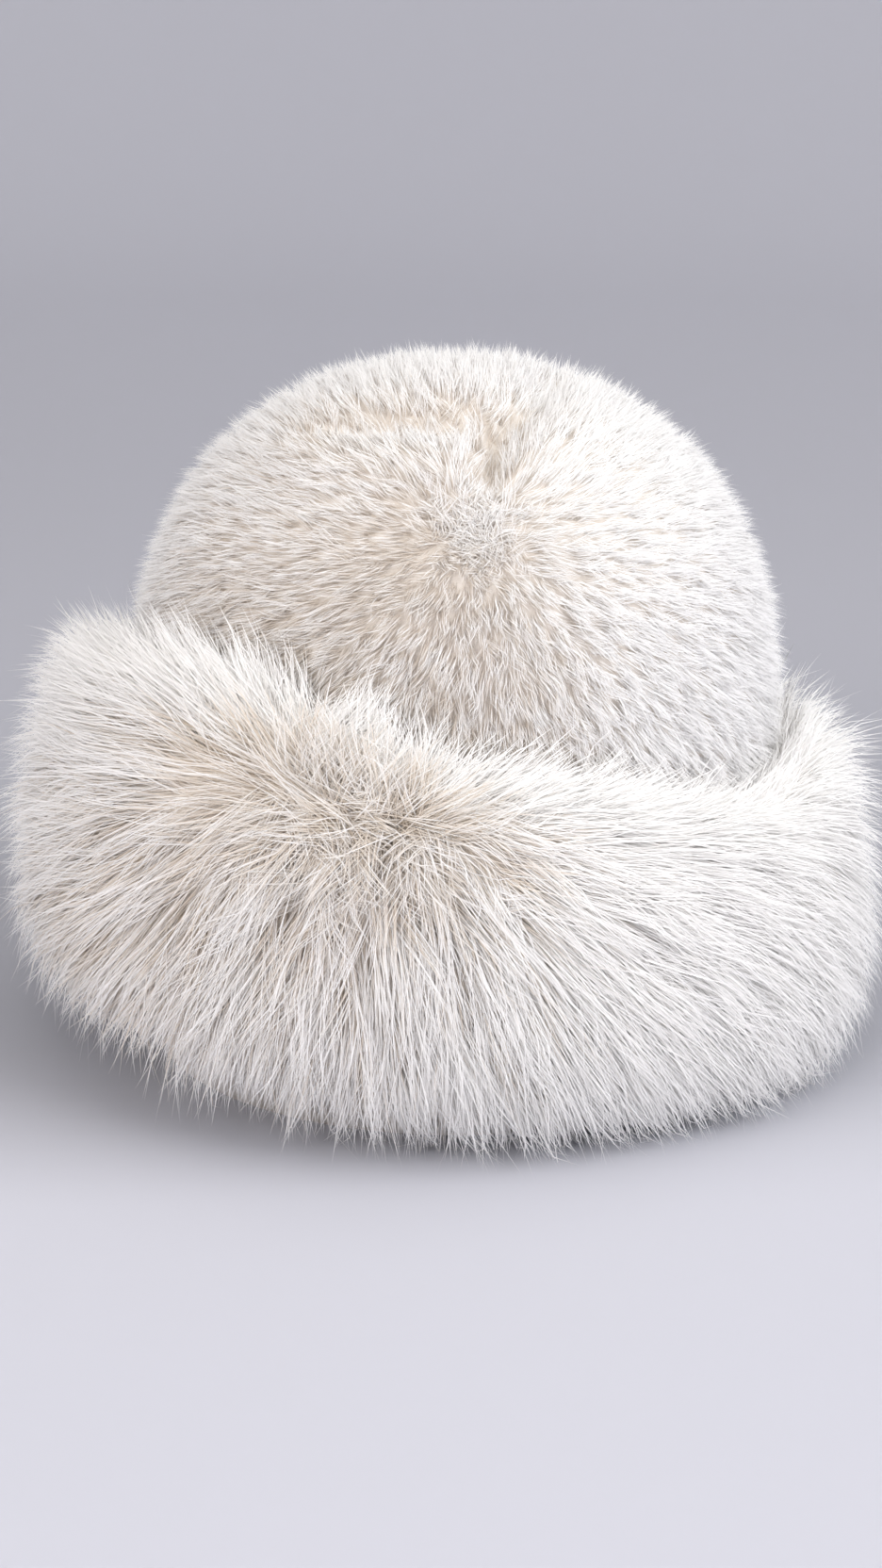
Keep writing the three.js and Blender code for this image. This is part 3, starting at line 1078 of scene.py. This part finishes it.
        # The tone carries the skin's painted shade and light as well as the fur's own cream and chance
        # variation.
        tone = 1.0 - skin.cream_and_painted_light(roots)[lock] + style.tone_spread * rng.normal(0.0, 1.0, locks)[lock]
        tone += 2.0 * style.tone_spread * rng.normal(0.0, 1.0, count) + np.where(guard, 0.3, -0.05)
        width = style.width * rng.uniform(0.7, 1.3, count)
        log.info("%s: %d locks, %d hairs", type(skin).__name__, locks, count)
        return Hairs(self.kept_in(places), out, np.clip(tone, 0.02, 0.98), width)


@dataclass
class MeshData:
    """Arrays of one mesh."""

    places: np.ndarray
    loops: np.ndarray
    loop_starts: np.ndarray
    normals: np.ndarray | None = None
    uv: np.ndarray | None = None
    materials: np.ndarray | None = None

    def build(self, name: str, finishes: Sequence["Finish"]) -> bpy.types.Object:
        """Makes an object of the arrays.

        Args:
            name: its name.
            finishes: its finishes, by material index.

        Returns:
            The object, linked to the scene.
        """
        mesh = bpy.data.meshes.new(name)
        mesh.vertices.add(len(self.places))
        mesh.vertices.foreach_set("co", (self.places * METRE).astype(np.float32).ravel())
        mesh.loops.add(len(self.loops))
        mesh.loops.foreach_set("vertex_index", self.loops.astype(np.int32))
        mesh.polygons.add(len(self.loop_starts))
        mesh.polygons.foreach_set("loop_start", self.loop_starts.astype(np.int32))
        for finish in finishes:
            mesh.materials.append(finish.material())
        if self.materials is not None:
            mesh.polygons.foreach_set("material_index", self.materials.astype(np.int32))
        mesh.update(calc_edges=True)
        mesh.polygons.foreach_set("use_smooth", np.ones(len(self.loop_starts), bool))
        if self.uv is not None:
            for layer in ("Fur", "OFBake"):
                uv = mesh.uv_layers.new(name=layer)
                uv.data.foreach_set("uv", self.uv[self.loops].astype(np.float32).ravel())
            mesh.uv_layers["Fur"].active = True
        if self.normals is not None:
            mesh.normals_split_custom_set_from_vertices(self.normals.astype(np.float32))
        piece = bpy.data.objects.new(name, mesh)
        bpy.context.scene.collection.objects.link(piece)
        return piece


# How far a ribbon turns about its line at most, in radians; how round it is shaded; and half its width on
# its map.
RIBBON_TURN, RIBBON_ROUND, RIBBON_MAP = 0.7, 0.4, 0.006


def ribbons(hairs: Hairs, rng: np.random.Generator) -> MeshData:
    """Turns hairs into ribbons with a point at both ends.

    Args:
        hairs: the hairs.
        rng: source of chance.

    Returns:
        A mesh in which each hair's edges lie half its width either side of its line, turned by chance about
        the line, with faces to the outside and shading normals near the skin's.
    """
    count, stations, _ = hairs.places.shape
    lines = unit(np.gradient(hairs.places, axis=1))
    side = unit(np.cross(lines, hairs.outward))
    face = np.cross(side, lines)
    roll = rng.uniform(-RIBBON_TURN, RIBBON_TURN, count)[:, None, None]
    across = side * np.cos(roll) + face * np.sin(roll)
    own = np.cross(across, lines)
    across = np.where((own * hairs.outward).sum(-1, keepdims=True) < 0.0, -across, across)
    own = np.cross(across, lines)
    t = np.linspace(0.0, 1.0, stations)
    half = (0.5 * hairs.width[:, None] * (1.1 - 0.45 * t)[None, :])[..., None]
    shade = unit(0.85 * hairs.outward + 0.3 * own)
    inner = slice(1, stations - 1)
    per = 2 * stations - 2

    def woven(left: np.ndarray, right: np.ndarray, middle: np.ndarray) -> np.ndarray:
        """Orders values as root, left and right of each inner station, and tip.

        Args:
            left: values at the left edge.
            right: values at the right edge.
            middle: values on the line.

        Returns:
            Array of shape (hairs, points of a ribbon, parts of a value).
        """
        result = np.empty((count, per, middle.shape[-1]))
        result[:, 0], result[:, -1] = middle[:, 0], middle[:, -1]
        result[:, 1:-1:2], result[:, 2:-1:2] = left[:, inner], right[:, inner]
        return result

    places = woven(hairs.places - across * half, hairs.places + across * half, hairs.places)
    normals = woven(unit(shade - RIBBON_ROUND * across), unit(shade + RIBBON_ROUND * across), shade)
    tone = np.repeat(hairs.tone[:, None], stations, 1)
    along = np.broadcast_to(0.01 + 0.98 * t, tone.shape)
    flat = np.stack([tone, along], -1)
    uv = woven(flat - [RIBBON_MAP, 0.0], flat + [RIBBON_MAP, 0.0], flat)
    quads = [[2 * k - 1, 2 * k, 2 * k + 2, 2 * k + 1] for k in range(1, stations - 2)]
    pattern = np.array([0, 2, 1] + sum(quads, []) + [per - 3, per - 2, per - 1])
    starts = np.array([0] + [3 + 4 * k for k in range(stations - 2)])
    base = np.arange(count)[:, None]
    loops = (pattern[None] + base * per).ravel()
    loop_starts = (starts[None] + base * len(pattern)).ravel()
    return MeshData(places.reshape(-1, 3), loops, loop_starts, normals.reshape(-1, 3), uv.reshape(-1, 2))


def lofted(
    rings: np.ndarray, closed: bool = False, start: np.ndarray | None = None, end: np.ndarray | None = None
) -> MeshData:
    """A surface through rings of points.

    Args:
        rings: array of shape (rings, points, 3); each ring turns to the left seen from the outside of its
            start.
        closed: whether the last ring joins the first one.
        start: the point that closes the first ring, or None.
        end: the point that closes the last ring, or None.

    Returns:
        The mesh, with its faces to the outside: the quads, then the triangles of the two ends.
    """
    rows, size, _ = rings.shape
    i = np.arange(size)
    j = (i + 1) % size
    first = np.arange(rows if closed else rows - 1)[:, None]
    second = (first + 1) % rows
    quads = np.stack([first * size + i, second * size + i, second * size + j, first * size + j], -1)
    places, caps = [rings.reshape(-1, 3)], []
    if start is not None:
        caps.append(np.stack([np.full(size, rows * size), i, j], -1))
        places.append(start)
    if end is not None:
        base = (rows - 1) * size
        caps.append(np.stack([base + j, base + i, np.full(size, rows * size + len(places) - 1)], -1))
        places.append(end)
    flat = quads.ravel()
    count = sum(len(cap) for cap in caps)
    loops = np.concatenate([flat, *(cap.ravel() for cap in caps)])
    starts = np.concatenate([4 * np.arange(len(flat) // 4), len(flat) + 3 * np.arange(count)])
    return MeshData(np.vstack(places), loops, starts)


class Shader:
    """Small helpers to make node trees."""

    @staticmethod
    def fill(tree: bpy.types.NodeTree, node: bpy.types.Node, values: dict[int | str, object]) -> None:
        """Fills inputs of a node.

        Args:
            tree: the node's tree.
            node: the node.
            values: by the input's index or name, a socket to link or the value to set.
        """
        for key, value in values.items():
            if isinstance(value, bpy.types.NodeSocket):
                tree.links.new(value, node.inputs[key])
            else:
                node.inputs[key].default_value = value

    @classmethod
    def add(
        cls, tree: bpy.types.NodeTree, kind: str, values: dict[int | str, object], **settings: object
    ) -> bpy.types.NodeOutputs:
        """Adds a node.

        Args:
            tree: where it goes.
            kind: its type, without the first part that all types have.
            values: what its inputs hold.
            settings: its other properties.

        Returns:
            Its outputs.
        """
        node = tree.nodes.new("ShaderNode" + kind)
        for name, setting in settings.items():
            setattr(node, name, setting)
        cls.fill(tree, node, values)
        return node.outputs


class HairTint:
    """Shared effect: the colour of a hair from its tone and the way along it."""

    NAME = "Hair tint"
    INPUTS = (("Tone", "Float"), ("Along", "Float"), ("Root", "Color"), ("Tip", "Color"), ("Shift", "Float"))

    @classmethod
    def group(cls) -> bpy.types.ShaderNodeTree:
        """Makes the group once.

        Returns:
            The group. Share = smooth step over Along plus the tone's shift; colour = root to tip by share.
        """
        if cls.NAME in bpy.data.node_groups:
            return bpy.data.node_groups[cls.NAME]
        tree = bpy.data.node_groups.new(cls.NAME, "ShaderNodeTree")
        for name, kind in cls.INPUTS:
            tree.interface.new_socket(name, in_out="INPUT", socket_type="NodeSocket" + kind)
        tree.interface.new_socket("Colour", in_out="OUTPUT", socket_type="NodeSocketColor")
        given = tree.nodes.new("NodeGroupInput").outputs
        centred = Shader.add(tree, "Math", {0: given["Tone"], 1: 0.5}, operation="SUBTRACT")
        shifted = Shader.add(
            tree, "Math", {0: centred[0], 1: given["Shift"], 2: given["Along"]}, operation="MULTIPLY_ADD"
        )
        span = {"Value": shifted[0], "From Min": -0.05, "From Max": 0.8}
        share = Shader.add(tree, "MapRange", span, interpolation_type="SMOOTHSTEP")
        ends = {0: share[0], MIX_FIRST: given["Root"], MIX_SECOND: given["Tip"]}
        colour = Shader.add(tree, "Mix", ends, data_type="RGBA")[MIX_RESULT]
        Shader.fill(tree, tree.nodes.new("NodeGroupOutput"), {"Colour": colour})
        return tree


@dataclass(frozen=True)
class Finish(ABC):
    """A finish that makes its material once."""

    name: str

    def material(self) -> bpy.types.Material:
        """The finish's material, made at the first call.

        Returns:
            A material with one shader, whose inputs say what the finish gives them.
        """
        known = bpy.data.materials.get(self.name)
        if known is not None:
            return known
        material = bpy.data.materials.new(self.name)
        material.use_nodes = True
        tree = material.node_tree
        Shader.fill(tree, tree.nodes["Principled BSDF"], self.inputs(tree))
        return material

    @abstractmethod
    def inputs(self, tree: bpy.types.NodeTree) -> dict[int | str, object]:
        """What the shader's inputs hold: values or sockets of nodes that are added to the tree."""


@dataclass(frozen=True)
class HairFinish(Finish):
    """Matt silky hair, cream at the root and white at the tip."""

    root: Colour = (0.78, 0.68, 0.565)
    tip: Colour = (0.975, 0.96, 0.936)
    shift: float = 1.0
    roughness: float = 0.55

    def inputs(self, tree: bpy.types.NodeTree) -> dict[int | str, object]:
        """Colour from the hair tint, read from the map of tone and way along.

        Args:
            tree: the material's tree.

        Returns:
            The shader's inputs.
        """
        uv = Shader.add(tree, "UVMap", {}, uv_map="Fur")
        parts = Shader.add(tree, "SeparateXYZ", {0: uv[0]})
        ends = {"Root": (*self.root, 1.0), "Tip": (*self.tip, 1.0), "Shift": self.shift}
        read = {"Tone": parts["X"], "Along": parts["Y"]}
        return {
            "Base Color": Shader.add(tree, "Group", read | ends, node_tree=HairTint.group())[0],
            "Roughness": self.roughness,
            "Specular IOR Level": 0.25,
            "Sheen Weight": 0.25,
            "Sheen Roughness": 0.5,
        }


@dataclass(frozen=True)
class HideFinish(Finish):
    """Matt hide or underfur, mottled between two colours."""

    dark: Colour = (0.8, 0.73, 0.65)
    light: Colour = (0.88, 0.83, 0.77)
    grain: float = 0.004
    bump: float = 0.4

    def inputs(self, tree: bpy.types.NodeTree) -> dict[int | str, object]:
        """Colour and bumps from noise over the object's own coordinates.

        Args:
            tree: the material's tree.

        Returns:
            The shader's inputs.
        """
        place = Shader.add(tree, "TexCoord", {})["Object"]
        grains = {"Vector": place, "Scale": 1.0 / self.grain, "Detail": 5.0}
        noise = Shader.add(tree, "TexNoise", grains)["Fac"]
        ends = {0: noise, MIX_FIRST: (*self.dark, 1.0), MIX_SECOND: (*self.light, 1.0)}
        bump = {"Height": noise, "Strength": self.bump, "Distance": METRE}
        return {
            "Base Color": Shader.add(tree, "Mix", ends, data_type="RGBA")[MIX_RESULT],
            "Normal": Shader.add(tree, "Bump", bump)["Normal"],
            "Roughness": 0.95,
        }


@dataclass(frozen=True)
class FloorFinish(Finish):
    """Matt studio paper with painted light and shade: palest in front of the hat, darkest just behind it, and
    a little paler again far behind.

    Each stop is metres from the hat's middle, positive behind it, and the painted colour there.
    """

    # Painted light and shade: paler paper in front, darker behind, darkest just behind the hat where its
    # shade falls.
    painted_shade_stops: tuple[tuple[float, Colour], ...] = (
        (-0.16, (0.586, 0.592, 0.65)),
        (0.02, (0.42, 0.425, 0.465)),
        (0.6, (0.445, 0.448, 0.49)),
        (1.8, (0.507, 0.511, 0.558)),
    )

    def inputs(self, tree: bpy.types.NodeTree) -> dict[int | str, object]:
        """Colour that changes softly from stop to stop, from front to back.

        Args:
            tree: the material's tree.

        Returns:
            The shader's inputs.
        """
        start, end = self.painted_shade_stops[0][0], self.painted_shade_stops[-1][0]
        place = Shader.add(tree, "TexCoord", {})["Object"]
        depth = Shader.add(tree, "SeparateXYZ", {0: place})["Y"]
        share = Shader.add(tree, "MapRange", {"Value": depth, "From Min": start, "From Max": end})
        colour = Shader.add(tree, "ValToRGB", {0: share[0]})["Color"]
        ramp = colour.node.color_ramp
        ramp.interpolation = "EASE"
        while len(ramp.elements) < len(self.painted_shade_stops):
            ramp.elements.new(0.5)
        for element, (metres, paint) in zip(ramp.elements, self.painted_shade_stops):
            element.position = (metres - start) / (end - start)
            element.color = (*paint, 1.0)
        return {"Base Color": colour, "Roughness": 0.8, "Specular IOR Level": 0.2}


SHORT_HAIR = HairFinish("Short fur", root=(0.7, 0.615, 0.525), tip=(0.95, 0.938, 0.92))
LONG_HAIR = HairFinish("Long fur")
UNDERFUR = HideFinish("Underfur", dark=(0.75, 0.68, 0.6), light=(0.84, 0.785, 0.715))
HIDE = HideFinish("Hide", dark=(0.66, 0.58, 0.5), light=(0.76, 0.69, 0.61), grain=0.008, bump=0.2)
PAINTED_SHADE_PAPER = FloorFinish("Paper")


def mount(piece: bpy.types.Object, node: Node) -> bpy.types.Object:
    """Puts a piece in the frame.

    Args:
        piece: the object.
        node: the solid that it stands for.

    Returns:
        The object.
    """
    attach(piece, "root")
    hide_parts(node.value)
    return piece


@dataclass
class FurredPart(ABC):
    """A sub-assembly: a shell and a coat in several pieces."""

    sizes: HatSizes
    node: Node
    slot: Slot
    coat: Coat
    finish: HairFinish
    parts: int

    @abstractmethod
    def shell(self) -> bpy.types.Object:
        """Makes the shell."""

    def fur(self) -> list[bpy.types.Object]:
        """Makes the coat.

        Returns:
            One object for each share of the hairs.
        """
        hairs = self.coat.grow()
        rng = np.random.default_rng(self.coat.seed + 1)
        made = []
        for k in range(self.parts):
            data = ribbons(hairs.share(slice(k, None, self.parts)), rng)
            made.append(data.build(f"{self.node.value}_fur_{k + 1}", [self.finish]))
        return made

    def build(self) -> list[bpy.types.Object]:
        """Makes the shell and the coat's pieces, and puts them in the frame."""
        return [mount(piece, self.node) for piece in (self.shell(), *self.fur())]


@dataclass
class Crown(FurredPart):
    """The crown: hide wall with the head hollow, and short fur.

    The shell lies inset into the fur, by a share of its depth. Its rings run from dome_rings' first elevation
    to its last, down the wall, up the lining, and over hollow_rings' elevations.
    """

    sectors: int = 96
    rows: int = 40
    wall_rows: int = 12
    lining_rows: int = 9
    hollow_rows: int = 26
    dome_rings: tuple[float, float] = (88.0, 0.0)
    hollow_rings: tuple[float, float] = (4.0, 87.0)
    inset: float = 0.85
    hollow_folds: float = 0.7

    def shell(self) -> bpy.types.Object:
        """Makes the wall: underfur outside from the top to the hem, then the head hollow back to its top.

        Returns:
            The object.
        """
        size = self.sizes
        skin = self.coat.skin
        turn = azimuths(self.sectors)
        inset = self.inset * self.coat.style.depth
        rings = []
        for elevation in np.linspace(*self.dome_rings, self.rows):
            rings.append(skin.points(direction(turn, elevation), -inset))
        for height in np.linspace(size.spring_height, 0.0, self.wall_rows + 1)[1:]:
            radius = skin.wall_radius(height) - inset * smoothstep(30.0, 90.0, height)
            rings.append(self.wall_ring(turn, radius, height))
        for height in np.linspace(0.0, size.spring_height, self.lining_rows):
            radius = size.inner_radius + size.flare * math.sin(0.5 * math.pi * height / size.spring_height)
            rings.append(self.wall_ring(turn, radius, height))
        for elevation in np.linspace(*self.hollow_rings, self.hollow_rows):
            rings.append(self.hollow_points(direction(turn, elevation)))
        data = lofted(np.stack(rings), start=skin.points(UP[None], -inset), end=self.hollow_points(UP[None]))
        outer = self.rows + self.wall_rows - 1
        inner = self.lining_rows + self.hollow_rows
        data.materials = np.repeat([0, 1, 0, 1], np.array([outer, inner, 1, 1]) * self.sectors)
        return data.build("crown_hide", [UNDERFUR, HIDE])

    def wall_ring(self, turn: np.ndarray, radius: float, height: float) -> np.ndarray:
        """A level ring about the crown's middle, at azimuths, a radius and a height."""
        return outward(turn) * radius + [self.sizes.crown_shift, 0.0, height]

    def hollow_points(self, spots: np.ndarray) -> np.ndarray:
        """The hollow's dome, which follows the folds with a share of their depth.

        Args:
            spots: unit vectors.

        Returns:
            Array of points.
        """
        size = self.sizes
        flat = np.hypot(spots[:, 0], spots[:, 1]) / (size.inner_radius + size.flare)
        tall = spots[:, 2] / (size.dome_rise - size.top_wall)
        reach = (flat**size.fullness + tall**size.fullness) ** (-1.0 / size.fullness)
        reach += self.hollow_folds * self.coat.skin.fold_height(spots)
        return size.spring + spots * reach[:, None]


@dataclass
class Cuff(FurredPart):
    """The cuff: a roll of underfur on its backing, and long fur.

    The roll lies inset into the fur, by a share of its depth, is tucked in at its foot, and keeps off the
    floor and the crown. It ends under_foot inside the foot and under_seat outside the crown's seat at least.
    """

    sectors: int = 144
    rows: int = 30
    lip_rows: int = 5
    seat_rows: int = 8
    foot_tuck: float = 8.0
    off_floor: float = 2.0
    seat_gap: float = 0.3
    inset: float = 0.7
    under_foot: float = 6.0
    under_seat: float = 3.0
    seat_top: float = 0.94

    def shell(self) -> bpy.types.Object:
        """Makes the roll: over the lip and down the outside, in along the floor and up the backing.

        Returns:
            The object.
        """
        size = self.sizes
        skin = self.coat.skin
        turn = azimuths(self.sectors)
        outside = np.linspace(0.0, skin.FOOT - 0.02, self.rows)
        rings = []
        for along in np.concatenate([np.linspace(-skin.LIP, -0.05, self.lip_rows), outside]):
            spots = np.stack([turn, np.full_like(turn, along)], -1)
            inset = self.inset * self.coat.style.depth * smoothstep(-skin.LIP, 0.06, along)
            inset += self.foot_tuck * smoothstep(0.6, skin.FOOT, along)
            ring = skin.points(spots, -inset)
            ring[:, 2] = np.maximum(ring[:, 2], self.off_floor)
            rings.append(self.clear_of_crown(turn, ring))
        seat = skin.seat_radius(turn, np.zeros_like(turn))
        foot = around("foot", turn) * size.body_reach - around("lift", turn) * size.hat_height
        rings.append(outward(turn) * np.maximum(foot - self.under_foot, seat + self.under_seat)[:, None])
        ridge = around("ridge", turn) * size.hat_height - size.crest_drop
        for share in np.linspace(0.0, self.seat_top, self.seat_rows):
            height = share * ridge
            near = skin.seat_radius(turn, height)
            rings.append(outward(turn) * near[:, None] + UP * height[:, None])
        return lofted(np.stack(rings), closed=True).build("cuff_hide", [UNDERFUR])

    def clear_of_crown(self, turn: np.ndarray, ring: np.ndarray) -> np.ndarray:
        """Keeps a ring outside the crown's wall.

        Args:
            turn: its azimuths.
            ring: its points.

        Returns:
            The points, moved out to the crown's seat where they would be inside it.
        """
        seat = self.coat.skin.seat_radius(turn, ring[:, 2])
        radius = np.hypot(ring[:, 0], ring[:, 1])
        scale = np.maximum(radius, seat + self.seat_gap) / radius
        return ring * np.stack([scale, scale, np.ones_like(scale)], -1)


@dataclass(frozen=True)
class Lamp:
    """A square soft light that looks at a point. Lengths are metres."""

    name: str
    place: tuple[float, float, float]
    size: float
    power: float
    colour: Colour = (1.0, 1.0, 1.0)
    aim: tuple[float, float, float] = (0.0, 0.0, 0.1)

    def build(self) -> bpy.types.Object:
        """Makes the light.

        Returns:
            The light's object.
        """
        data = bpy.data.lights.new(self.name, "AREA")
        data.shape = "SQUARE"
        data.size = self.size
        data.energy = self.power
        data.color = self.colour
        lamp = bpy.data.objects.new(self.name, data)
        lamp.location = self.place
        lamp.rotation_euler = (Vector(self.aim) - Vector(self.place)).to_track_quat("-Z", "Y").to_euler()
        bpy.context.scene.collection.objects.link(lamp)
        return lamp


LAMPS = (
    Lamp("key", (2.15, -1.05, 1.35), 2.4, 87.0),
    Lamp("fill", (-1.4, -1.8, 1.1), 1.8, 39.0, (1.0, 0.955, 0.9)),
    Lamp("top", (0.0, 0.2, 2.9), 2.2, 11.0),
)


@dataclass(frozen=True)
class Studio:
    """Floor with a wall that curves up from it all round, lights and camera. view_end is in metres."""

    radius: float = 2600.0
    bend: float = 1200.0
    wall: float = 3400.0
    elevation: float = 18.0
    distance: float = 1165.0
    aim_height: float = 83.0
    lens: float = 80.0
    film: float = 36.0
    view_end: float = 30.0
    air: Colour = (1.0, 0.965, 0.92)
    air_light: float = 0.58

    def backdrop(self) -> bpy.types.Object:
        """Makes the floor and its wall.

        Returns:
            The object.
        """
        start = self.radius - self.bend
        quarter = np.radians(np.linspace(0.0, 90.0, 19))
        radii = np.concatenate([[400.0, 900.0], start + self.bend * np.sin(quarter), [self.radius]])
        levels = np.concatenate([[0.0, 0.0], self.bend * (1.0 - np.cos(quarter)), [self.wall]])
        rings = outward(azimuths(96))[None] * radii[:, None, None] + UP * levels[:, None, None]
        floor = lofted(rings, start=np.zeros((1, 3))).build("floor", [PAINTED_SHADE_PAPER])
        return floor

    def lights(self) -> list[bpy.types.Object]:
        """Makes the lights and the air's own light.

        Returns:
            The lights.
        """
        world = bpy.data.worlds.new("Air")
        world.use_nodes = True
        background = world.node_tree.nodes["Background"]
        background.inputs[0].default_value = (*self.air, 1.0)
        background.inputs[1].default_value = self.air_light
        bpy.context.scene.world = world
        return [lamp.build() for lamp in LAMPS]

    def camera(self) -> bpy.types.Object:
        """Makes the camera in front of the hat and above it.

        Returns:
            The camera.
        """
        data = bpy.data.cameras.new("camera")
        data.lens = self.lens
        data.sensor_width = self.film
        data.clip_end = self.view_end
        camera = bpy.data.objects.new("camera", data)
        angle = math.radians(self.elevation)
        aim = Vector((0.0, 0.0, self.aim_height * METRE))
        back = Vector((0.0, -math.cos(angle), math.sin(angle))) * self.distance * METRE
        camera.location = aim + back
        camera.rotation_euler = (-back).to_track_quat("-Z", "Y").to_euler()
        scene = bpy.context.scene
        scene.collection.objects.link(camera)
        scene.camera = camera
        scene.view_settings.view_transform = "Standard"
        scene.view_settings.look = "None"
        return camera

    def build(self) -> None:
        """Makes everything round the hat."""
        self.backdrop()
        self.lights()
        self.camera()


def main() -> None:
    """Builds the hat and the studio, and reports each piece."""
    logging.basicConfig(level=logging.INFO, format="%(name)s: %(message)s")
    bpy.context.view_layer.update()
    crown = Crown(SIZES, Node.CROWN, Slot.SHORT_FUR, Coat(CrownSkin(), SHORT_COAT, 11), SHORT_HAIR, 2)
    cuff = Cuff(SIZES, Node.CUFF, Slot.LONG_FUR, Coat(CuffSkin(), LONG_COAT, 23), LONG_HAIR, 4)
    for part in (crown, cuff):
        for piece in part.build():
            mesh = piece.data
            mesh.calc_loop_triangles()
            log.info("%s: %d triangles", piece.name, len(mesh.loop_triangles))
    Studio().build()


if __name__ == "__main__":
    main()
